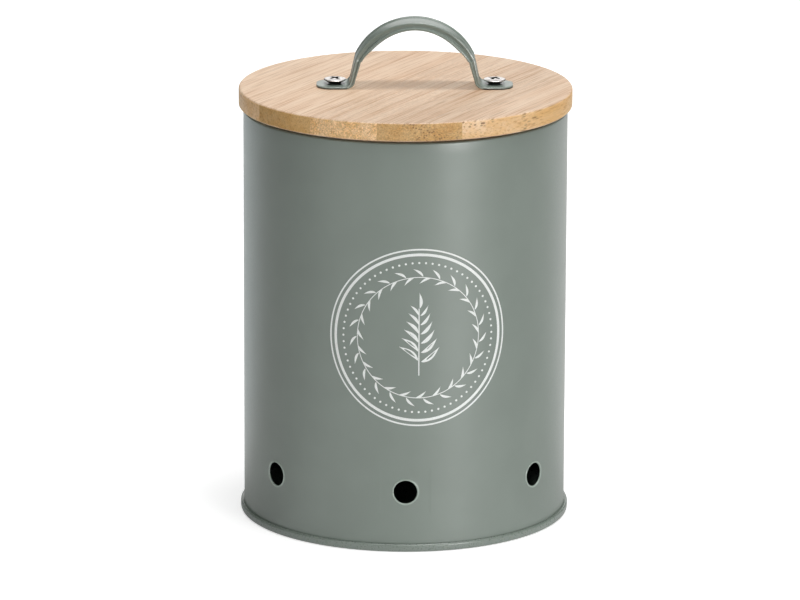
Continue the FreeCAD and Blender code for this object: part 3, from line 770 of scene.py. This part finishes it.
UPPER_TONES = (Tone(1.03, 1.15, (0.2, 0.2), 0.8, 1.0, 0.08),
               Tone(1.04, 1.34, (0.0, 0.3), 0.8, 1.0, 0.06),
               Tone(1.05, 1.14, (1.0, 0.9), 0.5, 1.0, 0.08),
               Tone(0.99, 1.32, (0.3, 0.15), 0.3, 0.8, 0.22),
               Tone(0.94, 0.98, (0.7, 0.85), 1.1, 0.85, 0.16),
               Tone(1.01, 1.20, (-0.35, 0.9), 1.3, 1.0, 0.05))
LOWER_TONES = (Tone(1.0, 0.95, (0.5, 0.4), 0.9, 1.0, 0.1),
               Tone(0.96, 0.9, (0.8, 0.7), 0.9, 1.1, 0.1),
               Tone(1.02, 1.0, (0.4, 0.5), 0.8, 0.9, 0.1),
               Tone(0.98, 0.92, (0.7, 0.7), 1.0, 1.0, 0.1),
               Tone(1.0, 1.0, (0.5, 0.6), 0.9, 1.0, 0.1))
FLAT = 0.4      # how far a layer's flat faces reach inwards before they are closed across


def upper_section(settings):
    """Section of the lid's upper layer, with eased edges."""
    edge, low = settings.edge_round / MM, settings.underside / MM
    middle, high = settings.radius / MM - edge, low + settings.thickness / MM
    return [(middle - FLAT, low),
            *arcs(((middle, low + edge), edge, -90, 0, 7),
                  ((middle, high - edge), edge, 0, 90, 7)),
            (middle - FLAT, high)]


def lower_section(settings):
    """Section of the lid's lower layer, with the ring's groove."""
    radius, high = settings.plug_radius / MM, settings.underside / MM
    low, edge = high - settings.plug_depth / MM, 1.0
    top, floor = settings.groove_top / MM, radius - settings.groove_depth / MM
    bottom = top - settings.groove_height / MM
    return [(radius - edge - FLAT, low), *arcs(((radius - edge, low + edge), edge, -90, 0, 7)),
            (radius, bottom), (floor, bottom), (floor, top), (radius, top), (radius, high)]


def saw(name, blank, turn, low, high, material):
    """A strip: what is left of a turned blank between two saw cuts along the grain."""
    across = Vector((math.cos(turn), math.sin(turn), 0))
    work = bmesh.new()
    work.from_mesh(blank.data)
    for place, normal in ((low, -across), (high, across)):
        if place is None:
            continue
        whole = work.verts[:] + work.edges[:] + work.faces[:]
        bmesh.ops.bisect_plane(work, geom=whole, plane_co=across * place, plane_no=normal,
                               clear_outer=True, dist=1e-7)
        close_holes(work)
    made = mesh_object(name, ())
    work.to_mesh(made.data)
    work.free()
    finish_mesh(made.data, material)
    return made


def layer(name, node, section, first_joint, tones, settings):
    """All strips of one layer of the lid."""
    blank = turned(f"{name}_blank", section, None, segments=320, flat_ends=True)
    joints = [first_joint + settings.strip_width * number for number in range(len(tones) - 1)]
    for number, (low, high, tone) in enumerate(zip([None] + joints, joints + [None], tones), 1):
        middle = first_joint + settings.strip_width * (number - 1.5)
        wood = bamboo(f"{name}_{number}", settings, tone, number * 0.37, middle)
        strip = saw(f"{name}_{number}", blank, settings.grain, low, high, wood)
        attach(strip, "lid")
        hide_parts(f"{node}_{number}")
    bpy.data.objects.remove(blank)


class KEEPER_OT_lid(bpy.types.Operator):
    """Builds the bamboo strips of the lid's upper and lower layers"""

    bl_idname = "keeper.lid"
    bl_label = "Bamboo lid"

    def execute(self, context):
        settings = context.scene.keeper_lid
        layer("upper_strip", "lid_strip", upper_section(settings), settings.upper_first,
              UPPER_TONES, settings)
        layer("lower_strip", "plug_strip", lower_section(settings), settings.lower_first,
              LOWER_TONES, settings)
        return {"FINISHED"}


class KEEPER_OT_seal(bpy.types.Operator):
    """Builds the silicone ring with its lip"""

    bl_idname = "keeper.seal"
    bl_label = "Sealing ring"

    def execute(self, context):
        settings, canister = context.scene.keeper_lid, context.scene.keeper_canister
        gap, corner, lip = 0.05, 0.3, 0.25
        low = (settings.groove_top - settings.groove_height) / MM + gap
        high = settings.groove_top / MM - gap
        inside = (settings.plug_radius - settings.groove_depth) / MM + gap
        outside = settings.plug_radius / MM + 0.2
        tip = (canister.radius - canister.curl_radius * 2) / MM - 0.1
        tip_height = (canister.rim_height - canister.curl_radius) / MM
        root = (low + high) / 2
        section = [(inside, low), *arcs(((outside - corner, low + corner), corner, -90, 0, 3)),
                   (outside + 0.02, root - 0.7), (outside + lip, root - 0.5),
                   *arcs(((tip - lip, tip_height), lip, -60, 80, 6)),
                   (outside + 0.2, root + 0.85), (outside, root + 0.75),
                   *arcs(((outside - corner, high - corner), corner, 0, 90, 3)), (inside, high)]
        ring = turned("sealing_ring", section, silicone())
        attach(ring, "seal")
        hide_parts("seal_ring")
        return {"FINISHED"}


# --- Handle and screws -----------------------------------------------------------------

# Half sections of the strap, from the middle of the outer face round to the middle of the
# inner one, in millimetres: the flat foot, and the arch with its folded edges.
FOOT_HALF = (
    (0, 0), (2.2, 0), (4.2, 0), (5.2, 0), (5.9, 0), (6.4, 0), (6.8, -0.02), (7.1, -0.08),
    (7.3, -0.15), (7.42, -0.23), (7.49, -0.31), (7.5, -0.37), (7.46, -0.42), (7.36, -0.45),
    (7.15, -0.48), (7.02, -0.54), (6.98, -0.66), (6.96, -0.82), (6.94, -1.0), (4.2, -1.0),
    (2.2, -1.0), (0, -1.0),
)
ARCH_HALF = (
    (0, 0), (2.4, -0.08), (4.2, -0.28), (4.9, -0.36), (5.3, -0.22), (5.6, 0.0), (5.9, 0.13),
    (6.2, 0.12), (6.48, -0.08), (6.62, -0.5), (6.25, -1.3), (6.3, -1.75), (6.95, -1.86),
    (7.4, -2.02), (7.5, -2.36), (7.4, -2.68), (7.05, -2.76), (6.3, -2.5), (5.6, -1.6),
    (4.2, -1.2), (2.2, -1.05), (0, -1.0),
)
# Below this height the strap's paint is a painted contact shadow under the feet's edges.
FOOT_STEP = 0.56 * MM   # height of the dark step under the feet's edges

# How far the section is folded from foot to arch: above the bend, at the shoulder and where the
# arch starts. The arch then folds a little more and eases again towards its top.
BEND_FOLD, SHOULDER_FOLD, ARCH_FOLD = 0.55, 0.75, 0.9
SWELL, SWELL_STEPS, RELAX, ARCH_STEPS = 0.35, 9, 0.25, 32

# One place along the strap: point and outward normal in X and Z, fold, and half width.
Station = namedtuple("Station", "x z normal fold half_width")


def ease(value):
    value = min(1, max(0, value))
    return value * value * (3 - 2 * value)


def strap_stations(given):
    """Stations along the right half of the handle, from the foot's end up to the top."""
    lean, bend, blend = given.lean, given.bend, given.blend
    tilt = (math.cos(lean), math.sin(lean))
    centre_z = given.rise - given.arch_radius
    bend_z = given.gauge + bend
    leg_x = given.leg_face - bend_z * math.tan(lean)
    bend_x = leg_x + bend / tilt[0]
    reach = leg_x * tilt[0] + (bend_z - centre_z) * tilt[1] - blend
    along = math.sqrt((given.arch_radius - blend) ** 2 - reach ** 2)
    blend_x = reach * tilt[0] - along * tilt[1]
    blend_z = reach * tilt[1] + along * tilt[0] + centre_z
    polar = math.atan2(blend_z - centre_z, blend_x)
    stations = []

    def put(x, z, normal=(0, 1), fold=0, half_width=given.half_width):
        stations.append(Station(x, z, normal, fold, half_width))

    def bow(x, z, radius, turns, folds, side=1):
        """An arc of stations round a point; side -1 has the strap's back towards it."""
        for turn, fold in zip(turns[1:], folds):
            put(x + radius * math.cos(turn), z + radius * math.sin(turn),
                (side * math.cos(turn), side * math.sin(turn)), fold)

    round_start = given.half_length - given.foot_round
    for turn in spread(math.pi / 2, 0, 14):
        put(round_start + given.foot_round * math.sin(turn), given.gauge,
            half_width=given.half_width - given.foot_round * (1 - math.cos(turn)))
    for x in spread(round_start, bend_x, 8)[1:]:
        put(x, given.gauge)
    bow(bend_x, bend_z, bend, spread(math.pi * 1.5, math.pi + lean, 10),
        [BEND_FOLD * ease(step / 10) for step in range(1, 11)], side=-1)
    foot = (bend_x - bend * tilt[0], bend_z - bend * tilt[1])
    shoulder = (blend_x + blend * tilt[0], blend_z + blend * tilt[1])
    for part in spread(0, 1, 16)[1:]:
        put(foot[0] + (shoulder[0] - foot[0]) * part, foot[1] + (shoulder[1] - foot[1]) * part,
            tilt, BEND_FOLD + (SHOULDER_FOLD - BEND_FOLD) * ease(part))
    bow(blend_x, blend_z, blend, spread(lean, polar, 12),
        spread(SHOULDER_FOLD, ARCH_FOLD, 12)[1:])
    bow(0, centre_z, given.arch_radius, spread(polar, math.pi / 2, ARCH_STEPS),
        [ARCH_FOLD + SWELL * ease(step / SWELL_STEPS)
         - RELAX * ease((step - SWELL_STEPS) / (ARCH_STEPS - SWELL_STEPS))
         for step in range(1, ARCH_STEPS + 1)])
    return stations


def whole_loop(half):
    """A closed section from its right half, in metres."""
    return [(u * MM, v * MM, 0) for u, v in half + tuple((-u, v) for u, v in half[-2:0:-1])]


def strap_object(given):
    """The strap's path and section as two loose lines, with what the recipe reads."""
    right = strap_stations(given)
    path = [(1, station) for station in right] + [(-1, station) for station in right[-2::-1]]
    flat, folded = whole_loop(FOOT_HALF), whole_loop(ARCH_HALF)
    first, loop = len(path), len(flat)
    off_path, off_section = [(0, 0, 0)] * loop, [(0, 0, 0)] * first
    place = [(side * station.x, 0, station.z) for side, station in path]
    edges = [(i, i + 1) for i in range(first - 1)]
    edges += [(first + i, first + (i + 1) % loop) for i in range(loop)]
    strap = mesh_object("strap_handle", place + flat, edges=edges)
    store(strap, "part", "INT", "POINT", [0] * first + [1] * loop)
    for name, rows in (
            ("place", place + off_path),
            ("outward", [(side * station.normal[0], 0, station.normal[1])
                         for side, station in path] + off_path),
            ("shape", [(station.fold, station.half_width, 0) for _, station in path] + off_path),
            ("flat", off_section + flat), ("folded", off_section + folded)):
        store(strap, name, "FLOAT_VECTOR", "POINT", rows)
    return strap


def build_strap(given, paint):
    """Sweeps the section along the path, and folds and narrows it as the path asks."""
    nodes = Recipe("folded_strap", Middle=given.middle, Base=given.base,
                   Half_width=given.half_width)
    middle, base, half_width = nodes.given
    lines = []
    for half, strange in zip(nodes.tagged(1), (("place", "outward", "shape"),
                                               ("flat", "folded"))):
        line = nodes.geo("MeshToCurve", Mesh=half)
        for name in strange:
            line = nodes.geo("RemoveAttribute", Geometry=line, Name=name)
        lines.append(line)
    section, path = lines
    swept = nodes.geo("CurveToMesh", Curve=path, Profile_Curve=section, Fill_Caps=True)
    place, outward, shape, flat, folded = (
        nodes.geo("InputNamedAttribute", Name=name, data_type="FLOAT_VECTOR")
        for name in ("place", "outward", "shape", "flat", "folded"))
    fold, narrowed, _ = nodes.parts(shape)
    change = nodes.scaled(nodes.vector("SUBTRACT", folded, flat), fold)
    across, proud, _ = nodes.parts(nodes.vector("ADD", flat, change))
    share = (across / (half_width * 0.6)).calc("MINIMUM", 1).calc("MAXIMUM", -1)
    across = across - (half_width - narrowed) * share
    there = nodes.vector("ADD", place, nodes.scaled(outward, proud))
    there = nodes.vector("ADD", there, nodes.point(middle, across, base))
    laid = nodes.geo("SetPosition", Geometry=swept, Position=there)
    return nodes.run(strap_object(given), laid, paint)


class KEEPER_OT_handle(bpy.types.Operator):
    """Builds the strap handle with its folded edges and flat feet"""

    bl_idname = "keeper.handle"
    bl_label = "Handle"

    def execute(self, context):
        given = context.scene.keeper_handle
        # The paint is nearly black below the feet's step: a painted contact shadow.
        paint = sage_paint("sage_powder_coat_handle", context.scene.keeper_canister, 0.03,
                           shadow_below=given.base + FOOT_STEP)
        handle = build_strap(given, paint)
        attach(handle, "lid")
        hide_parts("lid_handle")
        return {"FINISHED"}


SQUARE = ((-1, -1), (1, -1), (1, 1), (-1, 1))


def cross_cutter(top):
    """Two crossed wedges that narrow downwards, for the recess in a head of this height."""
    work = bmesh.new()
    for turn in (0, 90):
        upper, lower = (
            [work.verts.new((x * half_length * MM, y * half_width * MM, z * MM))
             for x, y in SQUARE]
            for z, half_length, half_width in ((top + 0.3, 2.5, 0.75), (top - 1.9, 1.5, 0.45)))
        work.faces.new(upper)
        work.faces.new(reversed(lower))
        for i, j in ((0, 1), (1, 2), (2, 3), (3, 0)):
            work.faces.new((lower[i], lower[j], upper[j], upper[i]))
        bmesh.ops.rotate(work, verts=upper + lower, cent=(0, 0, 0),
                         matrix=Matrix.Rotation(math.radians(turn), 3, "Z"))
    made = mesh_object("cross_cutter", ())
    work.to_mesh(made.data)
    work.free()
    return made


def screw_blank(given):
    """One screw with its cross recess, its head's seat at the origin."""
    head, top = given.head_radius / MM, given.head_height / MM
    rim, shank, deep = given.head_rim / MM, given.shank_radius / MM, given.screw_length / MM
    rise = top - rim
    crown = (head ** 2 + rise ** 2) / (2 * rise)
    dome = arc_points((0, top - crown), crown, math.degrees(math.acos(head / crown)), 90, 14)
    section = [(0.15, -deep), (shank, -deep + 3.0), (shank, 0), (2.1, 0),
               (head - 0.25, rim - 0.32),
               *arc_points((head - 0.22, rim - 0.22), 0.22, -70, 60, 5),
               *((r, z) for r, z in dome if 0.3 < r < head - 0.2)]
    blank = turned("handle_screws", section, None, segments=72, flat_ends=True)
    tool = cross_cutter(top)
    cut = blank.modifiers.new("cross", "BOOLEAN")
    cut.operation, cut.solver, cut.use_self, cut.object = "DIFFERENCE", "EXACT", True, tool
    keep_as_mesh(blank, cut)
    bpy.data.objects.remove(tool)
    return blank


def build_screws(given, steel):
    """Puts a screw at each end of a line, each turned its own way."""
    seat = (given.middle, 0, given.base + given.gauge)
    nodes = Recipe("two_screws", Middle=seat, Reach=given.screw_reach, First_turn=0.7,
                   Next_turn=0.35)
    middle, reach, first_turn, next_turn = nodes.given
    offset = nodes.point(reach)
    spots = nodes.geo("MeshLine", Count=2, Offset=nodes.vector("MULTIPLY", offset, (2, 2, 2)),
                      Start_Location=nodes.vector("SUBTRACT", middle, offset))
    turn = first_turn + nodes.geo("InputIndex") * next_turn
    return nodes.run(screw_blank(given), nodes.scatter(spots, nodes.start, turn), steel)


class KEEPER_OT_screws(bpy.types.Operator):
    """Builds the two cross-recess screws that hold the handle"""

    bl_idname = "keeper.screws"
    bl_label = "Screws"

    def execute(self, context):
        given = context.scene.keeper_handle
        screws = build_screws(given, bright_steel(given))
        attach(screws, "lid")
        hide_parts("screw_left", "screw_right")
        return {"FINISHED"}


# --- Printed badge ---------------------------------------------------------------------

BEADS, BEAD_RADIUS = 72, 0.42 * MM
LEAVES, LEAF_LENGTH, LEAF_TILT = 46, 5.2 * MM, 0.62
SPRIG_PAIRS, SPRIG_PITCH, SPRIG_LOW = 6, 3.6 * MM, -9.5 * MM
SPRIG_TILT = math.radians(52)       # of the lowest pair of leaves, from upright


def leaf():
    """Points and faces of a leaf one unit long, cut in two by its vein."""
    points, faces = [], []
    for side in (1, -1):
        rim = [(t, side * 0.21 * math.sin(math.pi * t ** 0.8)) for t in spread(0, 1, 10)]
        vein = [(t, side * 0.028) for t in spread(0.94, 0.08, 6)]
        half = [(0.05, side * 0.03), *rim[1:-1], (0.985, side * 0.02), *vein[:-1]]
        faces.append(tuple(range(len(points), len(points) + len(half))))
        points += [(x, y, 0) for x, y in half]
    return points, faces


def build_badge(settings, wall_radius, ink):
    """Rings, beads, a wreath and a sprig, drawn flat, raised and laid round the wall."""
    nodes = Recipe("printed_badge", Outer_ring=settings.outer_ring,
                   Outer_line=settings.outer_line, Inner_ring=settings.inner_ring,
                   Inner_line=settings.inner_line, Bead_ring=settings.bead_ring,
                   Wreath=settings.wreath, Stem=0.28 * MM, Wall=wall_radius,
                   Height=settings.height, Azimuth=settings.azimuth, Sunk=0.03 * MM,
                   Proud=0.04 * MM)
    (outer_ring, outer_line, inner_ring, inner_line, bead_ring, wreath, stem, wall, height,
     azimuth, sunk, proud) = nodes.given
    index = nodes.geo("InputIndex")

    def ring(radius, line, segments):
        edges = [nodes.geo("CurvePrimitiveCircle", Resolution=segments,
                           Radius=line.calc("MULTIPLY_ADD", half, radius))
                 for half in (0.5, -0.5)]
        return nodes.geo("FillCurve", nodes.join(edges))

    def spots(count, radius):
        return nodes.geo("MeshCircle", Vertices=count, Radius=radius)

    bead = nodes.geo("MeshCircle", Vertices=12, Radius=BEAD_RADIUS, fill_type="NGON")
    flip = index.calc("MODULO", 2).calc("MULTIPLY_ADD", -2, 1)
    tilt = flip.calc("MULTIPLY_ADD", LEAF_TILT, math.pi / 2)
    drawn = [ring(outer_ring, outer_line, 240), ring(inner_ring, inner_line, 240),
             nodes.scatter(spots(BEADS, bead_ring), bead),
             nodes.scatter(spots(LEAVES, wreath), nodes.start,
                           index * (math.tau / LEAVES) + tilt, LEAF_LENGTH),
             ring(wreath, stem, 200)]
    for side in (-1, 1):
        line = nodes.geo("MeshLine", Count=SPRIG_PAIRS, Offset=(0, SPRIG_PITCH, 0),
                         Start_Location=(side * 0.2 * MM, SPRIG_LOW, 0))
        turn = index.calc("MULTIPLY_ADD", side * 0.05, math.pi / 2 - side * SPRIG_TILT)
        size = index.calc("MULTIPLY_ADD", -0.9 * MM, 9.8 * MM)
        drawn.append(nodes.scatter(line, nodes.start, turn, size))
    drawn.append(nodes.geo("Transform", Geometry=nodes.start, Translation=(0, 11.2 * MM, 0),
                           Rotation=(0, 0, math.pi / 2), Scale=[6.6 * MM] * 3))
    stalk = nodes.geo("MeshGrid", Size_X=0.42 * MM, Size_Y=26.2 * MM, Vertices_X=2,
                      Vertices_Y=12)
    drawn.append(nodes.geo("Transform", Geometry=stalk, Translation=(0, -1.7 * MM, 0)))

    flat = nodes.geo("RealizeInstances", nodes.join(drawn))
    raised = nodes.geo("ExtrudeMesh", Mesh=flat, Offset=(0, 0, 1), Offset_Scale=1,
                       Individual=False, mode="FACES")
    closed = nodes.join([raised, nodes.geo("FlipFaces", flat)])
    x, y, z = nodes.parts(nodes.geo("InputPosition"))
    turn = azimuth + x / wall
    radius = wall - sunk + z * (sunk + proud)
    wrapped = nodes.point(radius * turn.calc("SINE"), radius * turn.calc("COSINE") * -1,
                          y + height)
    laid = nodes.geo("SetPosition", Geometry=closed, Position=wrapped)
    return nodes.run(mesh_object("printed_badge", *leaf()), laid, ink)


class KEEPER_OT_emblem(bpy.types.Operator):
    """Prints the round badge on the front of the wall"""

    bl_idname = "keeper.emblem"
    bl_label = "Printed badge"

    def execute(self, context):
        settings = context.scene.keeper_emblem
        badge = build_badge(settings, context.scene.keeper_canister.radius,
                            printed_ink(settings.ink))
        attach(badge, "canister")
        return {"FINISHED"}


# --- Stage -----------------------------------------------------------------------------

# Azimuths from the front where the floor's mirrored glow dims at the two sides, as if dark
# cards stood there, and where it brightens again behind.
CARDS_FROM = (math.radians(50), math.radians(75))
CARDS_TO = (math.radians(102), math.radians(132))

# Soft lights: name, azimuth from the front towards +X, distance, height, size, brightness.
LIGHTS = (
    ("overhead", 80, 0.2, 2.2, (2.0, 2.0), 2.35),
    ("overhead_core", 52, 0.25, 2.2, (0.6, 0.6), 15.8),
    ("right_front", 36, 5.5, 0.55, (1.28, 1.1), 34.0),
    ("left_front", -44, 3.0, 0.8, (1.0, 1.2), 1.9),
    ("back", 177, 2.2, 0.95, (1.3, 1.2), 1.45),
)


def floor_material(settings):
    """Pale matt floor that the camera sees a little brighter, with the object's shadow kept.

    What the wall mirrors of it is dimmer at the object's two sides, as with dark cards there,
    and cooler behind on the left.
    """
    nodes = Material("pale_floor")
    matt = nodes.out("ShaderNodeBsdfDiffuse", Color=(*settings.floor, 1))
    x, y, _ = nodes.parts(nodes.place)
    azimuth = x.calc("ARCTAN2", y * -1).calc("ABSOLUTE")
    front = nodes.grade(azimuth, *CARDS_FROM, settings.mirrored, settings.carded)
    behind = nodes.grade(azimuth, *CARDS_TO)
    level = front + behind * (settings.mirrored - settings.carded)
    seen, glossy = nodes.ray("Camera"), nodes.ray("Glossy")
    cool = behind * nodes.grade(x, -0.2, 0, 1, 0) * glossy
    mirrored = glossy * (level * cool.calc("MULTIPLY_ADD", 0.3, 1))
    glow = nodes.out("ShaderNodeEmission", Strength=seen * settings.glow + mirrored,
                     Color=nodes.blend(cool, (1, 1, 1), (0.85, 0.96, 1)))
    nodes.add("ShaderNodeOutputMaterial", nodes.out("ShaderNodeAddShader", matt, glow))
    return nodes.made


def studio_world(sky):
    """White where the camera looks, and a weak even light for all else."""
    world = bpy.data.worlds.new("studio")
    world.use_nodes = True
    nodes = Nodes(world.node_tree)
    nodes.tree.nodes.clear()
    seen = nodes.ray("Camera").calc("MAXIMUM", nodes.ray("Transmission"))
    white = nodes.out("ShaderNodeBackground", Color=(1, 1, 1, 1),
                      Strength=nodes.grade(seen, 0, 1, sky, 1))
    nodes.add("ShaderNodeOutputWorld", white)
    return world


def soft_light(name, azimuth, distance, height, size, brightness):
    """A rectangular soft light facing the object, as bright as a white card in that light."""
    lamp = bpy.data.lights.new(name, "AREA")
    lamp.shape = "RECTANGLE"
    lamp.size, lamp.size_y = size
    lamp.energy = math.pi * size[0] * size[1] * brightness
    turn = math.radians(azimuth)
    place = Vector((distance * math.sin(turn), -distance * math.cos(turn), height))
    made = bpy.data.objects.new(name, lamp)
    made.visible_camera = False
    made.location = place
    made.rotation_euler = (Vector((0, 0, 0.1)) - place).to_track_quat("-Z", "Y").to_euler()
    bpy.context.scene.collection.objects.link(made)
    return made


def shine_past(lamp, spared):
    """Keeps one object from casting a shadow in one light."""
    others = bpy.data.collections.new(f"{lamp.name}_shadows")
    others.objects.link(spared)
    others.collection_objects[0].light_linking.link_state = "EXCLUDE"
    lamp.light_linking.blocker_collection = others


class KEEPER_OT_stage(bpy.types.Operator):
    """Sets the floor, the soft lights, the background and the camera"""

    bl_idname = "keeper.stage"
    bl_label = "Stage"

    def execute(self, context):
        scene = context.scene
        settings = scene.keeper_stage
        reach, low = 6.0, -0.1 * MM
        floor = mesh_object("floor", [(x * reach, y * reach, low) for x, y in SQUARE],
                            [(0, 1, 2, 3)])
        floor.data.materials.append(floor_material(settings))
        scene.world = studio_world(settings.sky)
        lamps = {light[0]: soft_light(*light) for light in LIGHTS}
        if "strap_handle" in bpy.data.objects:
            shine_past(lamps["overhead"], bpy.data.objects["strap_handle"])

        camera = bpy.data.cameras.new("camera")
        camera.lens = settings.lens
        camera.sensor_width = 36
        camera.clip_start, camera.clip_end = 0.05, 40
        view = bpy.data.objects.new("camera", camera)
        view.location = settings.camera_place
        turn = Matrix.Rotation(settings.camera_turn, 4, "Z")
        tilt = Matrix.Rotation(math.pi / 2 - settings.camera_down, 4, "X")
        roll = Matrix.Rotation(settings.camera_roll, 4, "Z")
        view.rotation_euler = (turn @ tilt @ roll).to_euler()
        scene.collection.objects.link(view)
        scene.camera = view
        scene.view_settings.view_transform = "Standard"
        return {"FINISHED"}


# --- Add-on ----------------------------------------------------------------------------


OPERATORS = (
    KEEPER_OT_canister,
    KEEPER_OT_emblem,
    KEEPER_OT_lid,
    KEEPER_OT_seal,
    KEEPER_OT_handle,
    KEEPER_OT_screws,
    KEEPER_OT_stage,
)


class KEEPER_PT_panel(bpy.types.Panel):
    """Lists the keeper's pieces and their settings"""

    bl_idname = "KEEPER_PT_panel"
    bl_label = "Garlic keeper"
    bl_space_type = "VIEW_3D"
    bl_region_type = "UI"
    bl_category = "Keeper"

    def draw(self, context):
        column = self.layout.column()
        for operator in OPERATORS:
            column.operator(operator.bl_idname)
        for name, group in SETTINGS.items():
            box = self.layout.box()
            for setting in group.__annotations__:
                box.prop(getattr(context.scene, name), setting,
                         text=setting.replace("_", " ").capitalize())


CLASSES = (*SETTINGS.values(), *OPERATORS, KEEPER_PT_panel)


def register():
    for each in CLASSES:
        bpy.utils.register_class(each)
    for name, group in SETTINGS.items():
        setattr(bpy.types.Scene, name, bpy.props.PointerProperty(type=group))


def unregister():
    for name in SETTINGS:
        delattr(bpy.types.Scene, name)
    for each in reversed(CLASSES):
        bpy.utils.unregister_class(each)


def main():
    register()
    for operator in OPERATORS:
        group, name = operator.bl_idname.split(".")
        getattr(getattr(bpy.ops, group), name)()


if __name__ == "__main__":
    main()
